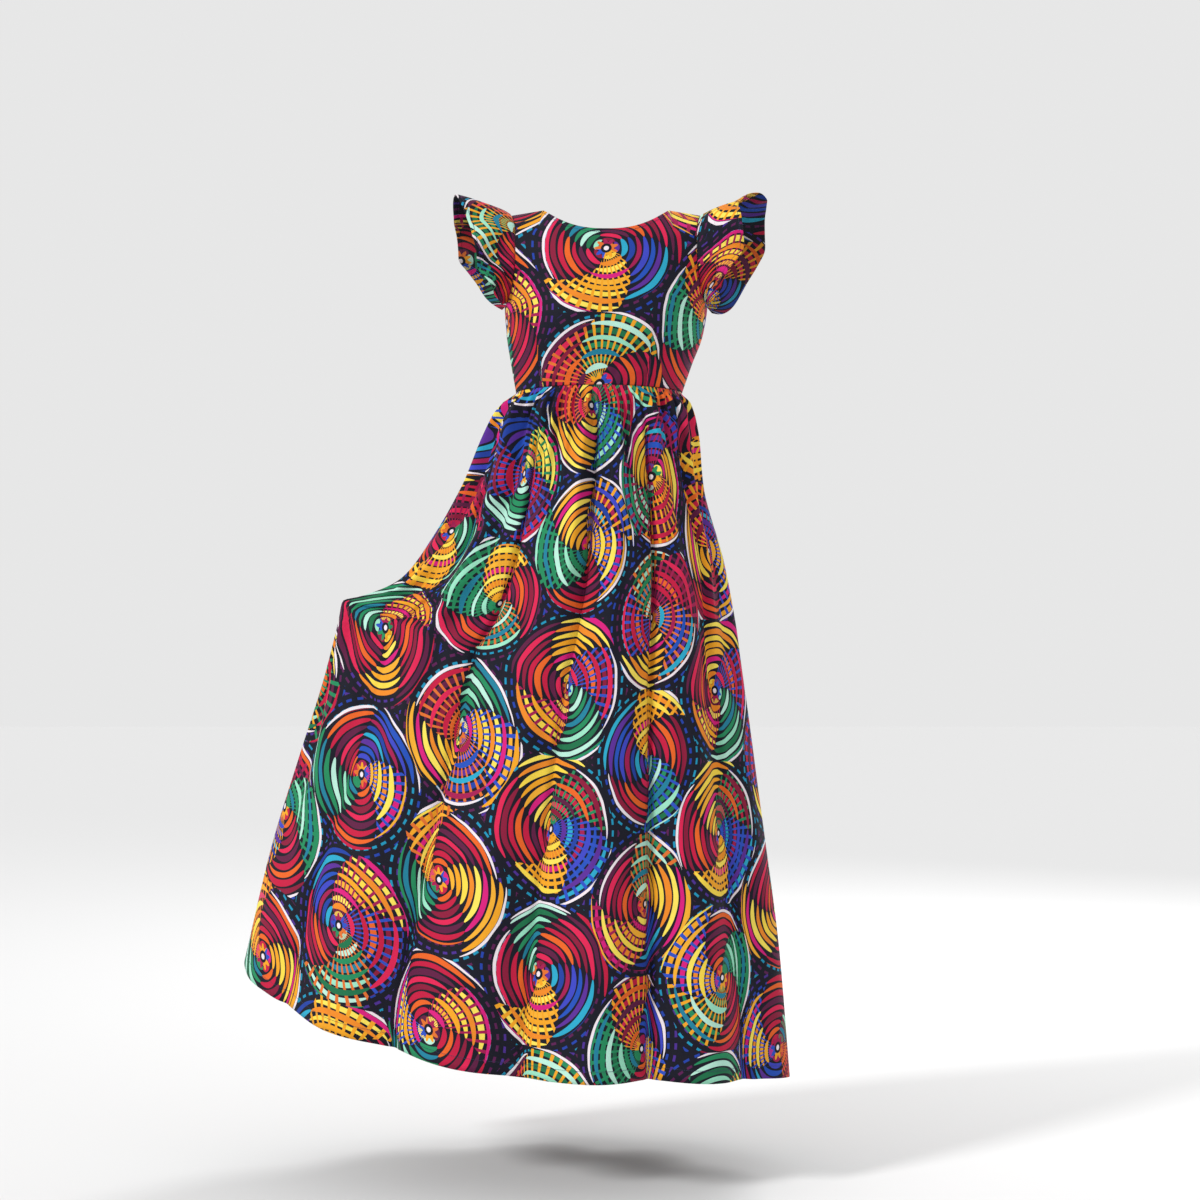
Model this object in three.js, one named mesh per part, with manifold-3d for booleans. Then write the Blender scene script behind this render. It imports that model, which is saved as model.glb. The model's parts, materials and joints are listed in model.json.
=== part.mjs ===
// Ankara wax print dress: fitted bodice, flutter sleeves round both armholes, long gathered skirt
// held out to one side, concealed zip down the centre back. Hollow, as it is worn.
// Millimetres, +Z up. The front faces -Y. Left and right are the wearer's, so left is +X.
// Origin: midway between the two neck points, level with the shoulder seams there.

import * as THREE from 'three'
import { mergeVertices } from 'three/addons/utils/BufferGeometryUtils.js'
import Module from 'manifold-3d'

// Driving dimensions
const CLOTH = 1.2 // wall of the printed cotton with its turnings
const SEAM_GAP = 0.3 // between two panels where they are sewn
const NECK_HALF = 100 // centre line to neck point
const NECK_FRONT = { drop: 38, depth: 70 } // scoop of the front neckline
const NECK_BACK = { drop: 22, depth: 80 }
const SHOULDER = { tip: 148, drop: 8 } // centre line to armhole, fall of the shoulder seam
const UNDERARM_AT = 0.5 // share of the bodice rows where the side seam ends
const BUST = { x: 72, z: -178, spreadX: 46, spreadZ: 44, fullness: 13 }
const SLEEVE_GAP = 1.8 // armhole edge to the middle of the sleeve's wall
const TAPE = { width: 11, thickness: 1 }
const ZIP_END_AT = 0.16 // share of the skirt rows where the zip stops

// Bodice sections from the waist seam (at 0) to the shoulder seam and neckline (at 1).
// Each row is one horizontal section: its middle (x, y, z), its side edge, and the angle in
// degrees that the cloth has turned by when it reaches that edge.
const FRONT_SECTIONS = [
  { at: 0.0, midX: -11, midY: -99, midZ: -282, sideX: 130, sideY: 0, sideZ: -288, turn: 90 },
  { at: 0.2, midX: -7, midY: -105, midZ: -236, sideX: 142, sideY: 0, sideZ: -242, turn: 90 },
  { at: 0.38, midX: -2, midY: -112, midZ: -186, sideX: 154, sideY: 0, sideZ: -196, turn: 90 },
  { at: 0.5, midX: 0, midY: -112, midZ: -148, sideX: 159, sideY: 0, sideZ: -152, turn: 90 },
  { at: 0.54, midX: 0, midY: -110, midZ: -136, sideX: 154, sideY: -20, sideZ: -146, turn: 82 },
  { at: 0.6, midX: 0, midY: -106, midZ: -120, sideX: 147, sideY: -38, sideZ: -124, turn: 72 },
  { at: 0.75, midX: 0, midY: -96, midZ: -88, sideX: 141, sideY: -52, sideZ: -82, turn: 62 },
  { at: 0.88, midX: 0, midY: -84, midZ: -62, sideX: 141, sideY: -42, sideZ: -42, turn: 58 },
]
const BACK_SECTIONS = [
  { at: 0.0, midX: -11, midY: 100, midZ: -288, sideX: 130, sideY: 0, sideZ: -288, turn: 90 },
  { at: 0.2, midX: -7, midY: 103, midZ: -238, sideX: 142, sideY: 0, sideZ: -242, turn: 90 },
  { at: 0.38, midX: -2, midY: 109, midZ: -190, sideX: 154, sideY: 0, sideZ: -196, turn: 90 },
  { at: 0.5, midX: 0, midY: 113, midZ: -150, sideX: 159, sideY: 0, sideZ: -152, turn: 90 },
  { at: 0.54, midX: 0, midY: 113, midZ: -138, sideX: 156, sideY: 20, sideZ: -146, turn: 82 },
  { at: 0.6, midX: 0, midY: 112, midZ: -120, sideX: 151, sideY: 40, sideZ: -124, turn: 72 },
  { at: 0.75, midX: 0, midY: 106, midZ: -80, sideX: 147, sideY: 55, sideZ: -82, turn: 62 },
  { at: 0.88, midX: 0, midY: 95, midZ: -48, sideX: 146, sideY: 44, sideZ: -42, turn: 58 },
]

// Skirt sections from the waist seam (at 0) to the hem (at 1). The left side hangs, the right side
// runs out to where it is held (at 0.43) and falls from there, so the sections tilt.
// round is the exponent of the right-hand corner: 2 is an ellipse, near 1 a taut point.
const SKIRT_SECTIONS = [
  { at: 0.0, leftX: 119, leftZ: -288, rightX: -141, rightZ: -288, round: 2.0,
    frontX: -11, frontY: -99, frontZ: -282, backX: -11, backY: 100, backZ: -288 },
  { at: 0.04, leftX: 129, leftZ: -331, rightX: -168, rightZ: -326, round: 1.95,
    frontX: -11, frontY: -116, frontZ: -324, backX: -11, backY: 116, backZ: -332 },
  { at: 0.15, leftX: 149, leftZ: -446, rightX: -214, rightZ: -424, round: 1.75,
    frontX: -14, frontY: -140, frontZ: -440, backX: -11, backY: 150, backZ: -450 },
  { at: 0.26, leftX: 184, leftZ: -562, rightX: -275, rightZ: -519, round: 1.5,
    frontX: -22, frontY: -155, frontZ: -556, backX: -14, backY: 168, backZ: -570 },
  { at: 0.34, leftX: 199, leftZ: -648, rightX: -327, rightZ: -582, round: 1.36,
    frontX: -32, frontY: -165, frontZ: -640, backX: -22, backY: 176, backZ: -655 },
  { at: 0.4, leftX: 208, leftZ: -712, rightX: -386, rightZ: -607, round: 1.26,
    frontX: -40, frontY: -172, frontZ: -703, backX: -32, backY: 181, backZ: -720 },
  { at: 0.43, leftX: 213, leftZ: -744, rightX: -414, rightZ: -614, round: 1.22,
    frontX: -45, frontY: -176, frontZ: -735, backX: -37, backY: 184, backZ: -752 },
  { at: 0.46, leftX: 218, leftZ: -776, rightX: -421, rightZ: -645, round: 1.26,
    frontX: -48, frontY: -181, frontZ: -766, backX: -42, backY: 187, backZ: -784 },
  { at: 0.55, leftX: 232, leftZ: -872, rightX: -444, rightZ: -736, round: 1.4,
    frontX: -56, frontY: -197, frontZ: -858, backX: -54, backY: 198, backZ: -881 },
  { at: 0.67, leftX: 249, leftZ: -1000, rightX: -481, rightZ: -853, round: 1.5,
    frontX: -65, frontY: -216, frontZ: -982, backX: -66, backY: 214, backZ: -1026 },
  { at: 0.82, leftX: 268, leftZ: -1160, rightX: -527, rightZ: -1003, round: 1.62,
    frontX: -74, frontY: -238, frontZ: -1136, backX: -80, backY: 236, backZ: -1204 },
  { at: 1.0, leftX: 283, leftZ: -1358, rightX: -569, rightZ: -1181, round: 1.7,
    frontX: -80, frontY: -262, frontZ: -1322, backX: -92, backY: 258, backZ: -1418 },
]

// Folds of the skirt. across is the place from the left side seam (0) to the right one (1),
// at the waist and at the hem; out is the rise at the hem, below 0 for a trough; wide is the
// half width, as a share of the half ring; from is the section where the fold begins.
const FRONT_FOLDS = [
  { waist: 0.07, hem: 0.08, out: 13, wide: 0.05, from: 0.1 },
  { waist: 0.16, hem: 0.17, out: -16, wide: 0.042, from: 0.0 },
  { waist: 0.26, hem: 0.26, out: 22, wide: 0.055, from: 0.05 },
  { waist: 0.315, hem: 0.345, out: -30, wide: 0.036, from: 0.0 },
  { waist: 0.4, hem: 0.44, out: 24, wide: 0.052, from: 0.03 },
  { waist: 0.505, hem: 0.54, out: -20, wide: 0.036, from: 0.0 },
  { waist: 0.59, hem: 0.62, out: 15, wide: 0.05, from: 0.12 },
  { waist: 0.7, hem: 0.71, out: -22, wide: 0.034, from: 0.0 },
  { waist: 0.78, hem: 0.79, out: 16, wide: 0.045, from: 0.2 },
  { waist: 0.86, hem: 0.88, out: -12, wide: 0.036, from: 0.05 },
]
const BACK_FOLDS = [
  { waist: 0.08, hem: 0.09, out: 14, wide: 0.05, from: 0.08 },
  { waist: 0.16, hem: 0.18, out: -21, wide: 0.036, from: 0.0 },
  { waist: 0.24, hem: 0.27, out: 23, wide: 0.05, from: 0.05 },
  { waist: 0.34, hem: 0.36, out: -24, wide: 0.038, from: 0.03 },
  { waist: 0.43, hem: 0.455, out: 17, wide: 0.046, from: 0.2 },
  { waist: 0.57, hem: 0.56, out: -19, wide: 0.034, from: 0.2 },
  { waist: 0.65, hem: 0.645, out: 22, wide: 0.052, from: 0.04 },
  { waist: 0.73, hem: 0.735, out: -25, wide: 0.036, from: 0.0 },
  { waist: 0.81, hem: 0.82, out: 15, wide: 0.042, from: 0.1 },
  { waist: 0.88, hem: 0.9, out: -11, wide: 0.034, from: 0.05 },
]

// Free edge of each flutter sleeve, from the front underarm (at 0) over the shoulder (at 0.5) to
// the back underarm (at 1): its distance from the centre line, its Y and Z, and how far the
// middle of the frill arches above a straight line from the armhole.
const LEFT_FRILL = [
  { at: 0.0, out: 163, y: -26, z: -151, arch: 0 },
  { at: 0.1, out: 173, y: -44, z: -134, arch: 1 },
  { at: 0.2, out: 191, y: -62, z: -100, arch: 3 },
  { at: 0.3, out: 213, y: -72, z: -64, arch: 7 },
  { at: 0.38, out: 214, y: -68, z: -34, arch: 10 },
  { at: 0.45, out: 203, y: -46, z: 13, arch: 8 },
  { at: 0.52, out: 216, y: -6, z: 10, arch: 2 },
  { at: 0.6, out: 250, y: 30, z: 38, arch: 6 },
  { at: 0.7, out: 258, y: 64, z: 4, arch: 12 },
  { at: 0.8, out: 254, y: 88, z: -44, arch: 9 },
  { at: 0.88, out: 240, y: 96, z: -88, arch: 5 },
  { at: 0.94, out: 208, y: 84, z: -140, arch: 3 },
  { at: 0.98, out: 182, y: 54, z: -170, arch: 1 },
  { at: 1.0, out: 168, y: 28, z: -158, arch: 0 },
]
const RIGHT_FRILL = [
  { at: 0.0, out: 163, y: -26, z: -151, arch: 0 },
  { at: 0.1, out: 171, y: -44, z: -140, arch: 1 },
  { at: 0.2, out: 182, y: -60, z: -122, arch: 3 },
  { at: 0.3, out: 197, y: -76, z: -95, arch: 7 },
  { at: 0.38, out: 206, y: -74, z: -62, arch: 10 },
  { at: 0.45, out: 213, y: -46, z: -18, arch: 8 },
  { at: 0.52, out: 237, y: -8, z: 21, arch: 8 },
  { at: 0.6, out: 243, y: 27, z: 5, arch: 12 },
  { at: 0.7, out: 241, y: 58, z: -26, arch: 12 },
  { at: 0.8, out: 235, y: 80, z: -62, arch: 8 },
  { at: 0.88, out: 220, y: 86, z: -92, arch: 5 },
  { at: 0.94, out: 194, y: 70, z: -130, arch: 2 },
  { at: 0.98, out: 175, y: 46, z: -148, arch: 1 },
  { at: 1.0, out: 165, y: 28, z: -153, arch: 0 },
]

// Grid lines of the walls
const BODICE_ROWS = [0, 0.1, 0.2, 0.29, 0.38, 0.44, 0.5, 0.54, 0.6, 0.68, 0.75, 0.82, 0.88, 0.94, 1]
const SKIRT_ROWS = [0, 0.02, 0.04, 0.09, 0.15, 0.2, 0.26, 0.34, 0.4, 0.43, 0.46, 0.55, 0.67, 0.82, 1]
const NECK_STEPS = 6 // columns from the centre line to the neck point
const SHOULDER_STEPS = 3 // columns along a shoulder seam
const SKIRT_STEPS = 22 // columns in a quarter of the skirt
const FRILL_ROWS = [0, 0.28, 0.55, 0.8, 1]

const smooth = (from, to, value) => THREE.MathUtils.smoothstep(value, from, to)
const bell = (distance) => Math.exp(-distance * distance)

// Value of one column of a section table, on a smooth curve through its rows that never
// swings past them.
function read(table, column, at) {
  const last = table.length - 1
  let low = 0
  while (low < last - 1 && table[low + 1].at <= at) low += 1
  const rise = (i) => (table[i + 1][column] - table[i][column]) / (table[i + 1].at - table[i].at)
  const slope = (i) => {
    const [before, after] = [rise(Math.max(i - 1, 0)), rise(Math.min(i, last - 1))]
    return before * after > 0 ? 2 * before * after / (before + after) : 0
  }
  const [a, b] = [table[low], table[low + 1]]
  const span = b.at - a.at
  const t = THREE.MathUtils.clamp((at - a.at) / span, 0, 1)
  const [t2, t3] = [t * t, t * t * t]
  return (2 * t3 - 3 * t2 + 1) * a[column] + (t3 - 2 * t2 + t) * span * slope(low)
    + (3 * t2 - 2 * t3) * b[column] + (t3 - t2) * span * slope(low + 1)
}

// Top edge of a bodice half: the scooped neckline, then the shoulder seam in the plane y = 0.
function topEdge(across, neck, facing) {
  const x = SHOULDER.tip * across
  const share = Math.abs(x) / NECK_HALF
  if (share < 1) {
    const depth = facing * neck.depth * Math.sqrt(1 - share * share)
    return new THREE.Vector3(x, depth, -neck.drop * (1 - share ** 2.4))
  }
  const along = (Math.abs(x) - NECK_HALF) / (SHOULDER.tip - NECK_HALF)
  return new THREE.Vector3(x, 0, -SHOULDER.drop * along)
}

// A point of the bodice: across runs from -1 at the right edge to 1 at the left edge.
// facing is -1 for the front and 1 for the back.
function bodicePoint(across, at, facing) {
  const [sections, neck] = facing < 0 ? [FRONT_SECTIONS, NECK_FRONT] : [BACK_SECTIONS, NECK_BACK]
  const lastSection = sections[sections.length - 1].at
  const section = (level) => {
    const turn = THREE.MathUtils.degToRad(read(sections, 'turn', level))
    const round = (1 - Math.cos(across * turn)) / (1 - Math.cos(turn))
    const [midX, sideX] = [read(sections, 'midX', level), read(sections, 'sideX', level)]
    const [midY, sideY] = [read(sections, 'midY', level), read(sections, 'sideY', level)]
    const [midZ, sideZ] = [read(sections, 'midZ', level), read(sections, 'sideZ', level)]
    return new THREE.Vector3(midX + sideX * Math.sin(across * turn) / Math.sin(turn),
      midY + (sideY - midY) * round, midZ + (sideZ - midZ) * round)
  }
  if (at <= lastSection) return withBust(section(at), facing)
  // The last stretch runs on from the highest section and bends over to the top edge.
  const t = (at - lastSection) / (1 - lastSection)
  const step = 0.02
  const start = section(lastSection)
  const heading = start.clone().sub(section(lastSection - step)).multiplyScalar(0.5 / step * (1 - lastSection))
  const end = topEdge(across, neck, facing)
  const bend = start.clone().add(heading)
  const point = start.multiplyScalar((1 - t) ** 2).addScaledVector(bend, 2 * t * (1 - t))
  return withBust(point.addScaledVector(end, t * t), facing)
}

// The fullness that the two waist darts leave over the bust.
function withBust(point, facing) {
  if (facing > 0) return point
  const rise = bell((point.z - BUST.z) / BUST.spreadZ)
  const cups = bell((point.x - BUST.x) / BUST.spreadX) + bell((point.x + BUST.x) / BUST.spreadX)
  point.y -= BUST.fullness * rise * cups
  return point
}

// One quarter of a skirt section, from a side seam to the middle of the front or back.
class SkirtQuarter extends THREE.Curve {
  constructor(at, facing, side) {
    super()
    this.arcLengthDivisions = 60
    const get = (column) => read(SKIRT_SECTIONS, column, at)
    const [sideName, midName] = [side > 0 ? 'left' : 'right', facing < 0 ? 'front' : 'back']
    this.corner = new THREE.Vector3(get(`${sideName}X`), 0, get(`${sideName}Z`))
    this.middle = new THREE.Vector3(get(`${midName}X`), get(`${midName}Y`), get(`${midName}Z`))
    this.power = side > 0 ? 1 : 2 / get('round')
  }

  getPoint(t) {
    const angle = t * Math.PI / 2
    const inward = 1 - Math.cos(angle) ** this.power
    const depth = Math.sin(angle) ** this.power
    const lift = (1 - depth) ** 0.8
    return new THREE.Vector3(this.corner.x + (this.middle.x - this.corner.x) * inward,
      this.middle.y * depth, this.middle.z + (this.corner.z - this.middle.z) * lift)
  }
}

// A point of the skirt: across runs from 0 at the left side seam to 1 at the right one.
function skirtPoint(across, at, facing) {
  const leftHalf = across <= 0.5
  const quarter = new SkirtQuarter(at, facing, leftHalf ? 1 : -1)
  const share = leftHalf ? across * 2 : (1 - across) * 2
  const point = quarter.getPointAt(share)
  const tangent = quarter.getTangentAt(THREE.MathUtils.clamp(share, 0.01, 0.99))
  const turn = leftHalf === facing < 0 ? 1 : -1
  const outward = new THREE.Vector3(-tangent.y * turn, tangent.x * turn, 0).normalize()
  return point.addScaledVector(outward, skirtFold(across, at, facing))
}

// Height of the folds there. They die away at the side seams and beside the zip.
function skirtFold(across, at, facing) {
  const seamFade = smooth(0, 0.06, across) * smooth(0, 0.06, 1 - across)
  const zipFade = facing < 0 ? 1 : smooth(0, 0.05, Math.abs(across - 0.5))
  let height = 0
  for (const fold of facing < 0 ? FRONT_FOLDS : BACK_FOLDS) {
    const centre = THREE.MathUtils.lerp(fold.waist, fold.hem, at)
    const growth = smooth(fold.from, fold.from + 0.12, at) * (0.25 + 0.75 * at)
    height += fold.out * growth * bell((across - centre) / fold.wide)
  }
  return height * seamFade * zipFade
}

// A grid of points with the outward direction at each, which a wall is built on.
// straighten(column, row, normal) squares the direction up where two panels are sewn.
function makeGrid(columns, rows, pointAt, outside, straighten) {
  const points = columns.map((c) => rows.map((r) => pointAt(c, r)))
  const normals = points.map((column, i) => column.map((point, j) => {
    const alongColumns = points[Math.min(i + 1, columns.length - 1)][j].clone()
      .sub(points[Math.max(i - 1, 0)][j])
    const alongRows = column[Math.min(j + 1, rows.length - 1)].clone().sub(column[Math.max(j - 1, 0)])
    const normal = alongColumns.cross(alongRows).normalize().multiplyScalar(outside)
    straighten(columns[i], rows[j], normal)
    return normal.normalize()
  }))
  return { points, normals }
}

// A closed wall on a grid, from one distance to another along the outward directions.
function wallOn(grid, inner, outer) {
  const [columnCount, rowCount] = [grid.points.length, grid.points[0].length]
  const positions = []
  for (const distance of [outer, inner]) {
    grid.points.forEach((column, i) => column.forEach((point, j) => {
      positions.push(...point.clone().addScaledVector(grid.normals[i][j], distance).toArray())
    }))
  }
  const vertex = (layer, i, j) => (layer * columnCount + i) * rowCount + j
  const indices = []
  const quad = (a, b, c, d) => indices.push(a, b, c, a, c, d)
  for (let i = 0; i < columnCount - 1; i += 1) {
    for (let j = 0; j < rowCount - 1; j += 1) {
      quad(vertex(0, i, j), vertex(0, i + 1, j), vertex(0, i + 1, j + 1), vertex(0, i, j + 1))
      quad(vertex(1, i, j), vertex(1, i, j + 1), vertex(1, i + 1, j + 1), vertex(1, i + 1, j))
    }
    const top = rowCount - 1
    quad(vertex(0, i, 0), vertex(1, i, 0), vertex(1, i + 1, 0), vertex(0, i + 1, 0))
    quad(vertex(0, i, top), vertex(0, i + 1, top), vertex(1, i + 1, top), vertex(1, i, top))
  }
  for (let j = 0; j < rowCount - 1; j += 1) {
    const end = columnCount - 1
    quad(vertex(0, 0, j), vertex(0, 0, j + 1), vertex(1, 0, j + 1), vertex(1, 0, j))
    quad(vertex(0, end, j), vertex(1, end, j), vertex(1, end, j + 1), vertex(0, end, j + 1))
  }
  const geometry = new THREE.BufferGeometry()
  geometry.setAttribute('position', new THREE.Float32BufferAttribute(positions, 3))
  geometry.setIndex(indices)
  return facingOut(geometry)
}

// Turns a closed shell's faces outward if its volume comes out negative.
function facingOut(geometry) {
  const position = geometry.getAttribute('position')
  const index = geometry.getIndex().array
  const corner = (k) => new THREE.Vector3().fromBufferAttribute(position, index[k])
  let volume = 0
  for (let k = 0; k < index.length; k += 3) {
    volume += corner(k).dot(corner(k + 1).cross(corner(k + 2))) / 6
  }
  if (volume < 0) {
    for (let k = 0; k < index.length; k += 3) {
      const second = index[k + 1]
      index[k + 1] = index[k + 2]
      index[k + 2] = second
    }
  }
  geometry.computeVertexNormals()
  return geometry
}

const clothWall = (grid) => wallOn(grid, -CLOTH / 2, CLOTH / 2)

// Even steps between the stops of a list, counts[i] of them between stops i and i + 1.
function steps(stops, counts) {
  const values = [stops[0]]
  counts.forEach((count, i) => {
    for (let k = 1; k <= count; k += 1) values.push(THREE.MathUtils.lerp(stops[i], stops[i + 1], k / count))
  })
  return values
}

// Bodice panels
const neckShare = NECK_HALF / SHOULDER.tip
const halfColumns = steps([0, neckShare, 1], [NECK_STEPS, SHOULDER_STEPS])
const wholeColumns = steps([-1, -neckShare, neckShare, 1], [SHOULDER_STEPS, NECK_STEPS * 2, SHOULDER_STEPS])

// At the side and shoulder seams the wall stands square to the plane y = 0, at the waist it is
// upright, and at the centre back it is square to the plane x = 0.
function bodiceSeams(column, row, normal) {
  const onShoulder = row === 1 && Math.abs(column) >= neckShare - 1e-6
  const onSide = Math.abs(column) === 1 && row <= UNDERARM_AT
  if (onShoulder || onSide) normal.y = 0
  if (row === 0) normal.z = 0
}

function backSeams(column, row, normal) {
  bodiceSeams(column, row, normal)
  if (column === 0) normal.x = 0
}

const bodiceFront = makeGrid(wholeColumns, BODICE_ROWS, (c, r) => bodicePoint(c, r, -1), 1, bodiceSeams)
const bodiceBackLeft = makeGrid(halfColumns, BODICE_ROWS, (c, r) => bodicePoint(c, r, 1), -1, backSeams)
const bodiceBackRight = makeGrid(halfColumns, BODICE_ROWS, (c, r) => bodicePoint(-c, r, 1), 1, backSeams)

// Skirt panels
function skirtSeams(column, row, normal) {
  if (column === 0 || column === 1) normal.y = 0
  if (row === 0) normal.z = 0
}

function skirtBackSeams(column, row, normal) {
  skirtSeams(column, row, normal)
  if (column === 0.5) normal.x = 0
}

const frontColumns = steps([0, 1], [SKIRT_STEPS * 2])
const skirtFront = makeGrid(frontColumns, SKIRT_ROWS, (c, r) => skirtPoint(c, r, -1), 1, skirtSeams)
const skirtBackLeft = makeGrid(steps([0.5, 0], [SKIRT_STEPS]), SKIRT_ROWS,
  (c, r) => skirtPoint(c, r, 1), 1, skirtBackSeams)
const skirtBackRight = makeGrid(steps([0.5, 1], [SKIRT_STEPS]), SKIRT_ROWS,
  (c, r) => skirtPoint(c, r, 1), -1, skirtBackSeams)

// Flutter sleeve: a frill whose root follows the armhole edges of the front and back bodice.
function frillGrid(side, frill) {
  const open = BODICE_ROWS.filter((row) => row > UNDERARM_AT)
  const edge = (facing) => open.map((row) => {
    const rim = bodicePoint(side, row, facing)
    const below = bodicePoint(side, row - 0.02, facing)
    const tangent = bodicePoint(side, Math.min(row + 0.02, 1), facing).sub(below).normalize()
    const outward = rim.clone().sub(bodicePoint(side * 0.95, row, facing))
    outward.addScaledVector(tangent, -outward.dot(tangent)).normalize()
    return rim.addScaledVector(outward, SLEEVE_GAP)
  })
  const [front, back] = [edge(-1), edge(1).reverse()]
  const roots = [...front, ...back.slice(1)]
  const armhole = new THREE.CatmullRomCurve3(roots, false, 'centripetal')
  const columns = steps([0, 1], [(roots.length - 1) * 2])
  const point = (along, reach) => {
    const root = armhole.getPoint(along)
    const free = new THREE.Vector3(side * read(frill, 'out', along), read(frill, 'y', along),
      read(frill, 'z', along))
    const arch = read(frill, 'arch', along) * 4 * reach * (1 - reach)
    return root.lerp(free, reach).add(new THREE.Vector3(0, 0, arch))
  }
  return makeGrid(columns, FRILL_ROWS, point, -side, () => {})
}

// Zip tape behind one edge of the centre back: it lies on the first strip of the bodice panel,
// then of the skirt panel, moved inward by the wall and a clearance.
function tapeGrid(bodice, skirt) {
  const strip = (grid, j) => {
    const share = TAPE.width / grid.points[0][j].distanceTo(grid.points[1][j])
    return [0, share].map((s) => ({
      point: grid.points[0][j].clone().lerp(grid.points[1][j], s),
      normal: grid.normals[0][j].clone().lerp(grid.normals[1][j], s).normalize(),
    }))
  }
  const upper = BODICE_ROWS.map((row, j) => strip(bodice, j)).reverse()
  const lower = SKIRT_ROWS.filter((row) => row < ZIP_END_AT).slice(1)
    .map((row) => strip(skirt, SKIRT_ROWS.indexOf(row)))
  const rows = [...upper, ...lower]
  return {
    points: [0, 1].map((i) => rows.map((row) => row[i].point)),
    normals: [0, 1].map((i) => rows.map((row) => row[i].normal)),
  }
}

// Zip slider and pull tab, in their own frame: X across, Y up along the zip, Z off the cloth.
const SLIDER = { width: 5.4, length: 9, thickness: 1.6 }
const BRIDGE = { width: 1.8, length: 6.4, thickness: 1.2, clear: 2.8 }
const TAB = { length: 22, width: 5.2, tipWidth: 6.4, thickness: 1.2, eyeWidth: 2.8, eyeLength: 4 }
const TAB_ABOVE_PIVOT = 0.8
const PIVOT_HEIGHT = SLIDER.thickness + BRIDGE.clear / 2
const TAB_LEAN = THREE.MathUtils.degToRad(6) // the tab leans in until it rests by the slider's end

function extrudedAcross(shape, width) {
  const geometry = new THREE.ExtrudeGeometry(shape, { depth: width, bevelEnabled: false, curveSegments: 6 })
  geometry.translate(0, 0, -width / 2)
  geometry.rotateY(Math.PI / 2) // shape X becomes -Z, so shapes here are drawn with X downward
  return geometry
}

function roundedRectangle(width, length, radius) {
  const [x, y] = [width / 2, length / 2]
  const shape = new THREE.Shape()
  shape.moveTo(-x + radius, -y)
  shape.lineTo(x - radius, -y)
  shape.absarc(x - radius, -y + radius, radius, -Math.PI / 2, 0)
  shape.lineTo(x, y - radius)
  shape.absarc(x - radius, y - radius, radius, 0, Math.PI / 2)
  shape.lineTo(-x + radius, y)
  shape.absarc(-x + radius, y - radius, radius, Math.PI / 2, Math.PI)
  shape.lineTo(-x, -y + radius)
  shape.absarc(-x + radius, -y + radius, radius, Math.PI, Math.PI * 1.5)
  return shape
}

const wasm = await Module()
wasm.setup()

function toSolid(geometry) {
  const bare = geometry.clone()
  bare.deleteAttribute('normal')
  bare.deleteAttribute('uv')
  const merged = mergeVertices(bare, 1e-4)
  return new wasm.Manifold(new wasm.Mesh({
    numProp: 3,
    vertProperties: new Float32Array(merged.getAttribute('position').array),
    triVerts: new Uint32Array(merged.getIndex().array),
  }))
}

function toGeometry(solid) {
  const mesh = solid.getMesh()
  const geometry = new THREE.BufferGeometry()
  geometry.setAttribute('position', new THREE.BufferAttribute(mesh.vertProperties, 3))
  geometry.setIndex(new THREE.BufferAttribute(mesh.triVerts, 1))
  geometry.computeVertexNormals()
  return geometry
}

// The slider's plate with the bridge that the tab's eye goes round.
function sliderGeometry() {
  const plate = new THREE.ExtrudeGeometry(roundedRectangle(SLIDER.width, SLIDER.length, 1.6),
    { depth: SLIDER.thickness, bevelEnabled: false, curveSegments: 6 })
  const height = BRIDGE.clear + BRIDGE.thickness
  const foot = 0.4 // the bridge is sunk into the plate by this much
  const arch = new THREE.Shape()
  const half = BRIDGE.length / 2
  arch.moveTo(foot, -half)
  arch.lineTo(foot, -half + BRIDGE.thickness)
  arch.lineTo(-BRIDGE.clear, -half + BRIDGE.thickness)
  arch.lineTo(-BRIDGE.clear, half - BRIDGE.thickness)
  arch.lineTo(foot, half - BRIDGE.thickness)
  arch.lineTo(foot, half)
  arch.lineTo(-height + 1, half)
  arch.absarc(-height + 1, half - 1, 1, Math.PI / 2, Math.PI, false)
  arch.absarc(-height + 1, -half + 1, 1, Math.PI, Math.PI * 1.5, false)
  const bridge = extrudedAcross(arch, BRIDGE.width).translate(0, 0, SLIDER.thickness)
  return toGeometry(toSolid(plate).add(toSolid(bridge)))
}

// The pull tab hangs along -Y from its pivot, which is its own origin.
function tabGeometry() {
  const neck = TAB.width / 2
  const tip = TAB.tipWidth / 2
  const outline = new THREE.Shape()
  outline.moveTo(-neck + 0.6, TAB_ABOVE_PIVOT)
  outline.lineTo(-neck, TAB_ABOVE_PIVOT - 0.6)
  outline.lineTo(-tip, tip - TAB.length)
  outline.absarc(0, tip - TAB.length, tip, Math.PI, Math.PI * 2, false)
  outline.lineTo(neck, TAB_ABOVE_PIVOT - 0.6)
  outline.lineTo(neck - 0.6, TAB_ABOVE_PIVOT)
  const eye = new THREE.Path()
  const [left, top] = [TAB.eyeWidth / 2, -TAB_ABOVE_PIVOT]
  eye.moveTo(-left, top)
  eye.lineTo(left, top)
  eye.lineTo(left, top - TAB.eyeLength)
  eye.lineTo(-left, top - TAB.eyeLength)
  outline.holes.push(eye)
  const geometry = new THREE.ExtrudeGeometry(outline,
    { depth: TAB.thickness, bevelEnabled: false, curveSegments: 8 })
  return geometry.translate(0, 0, -TAB.thickness / 2)
}

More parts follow.
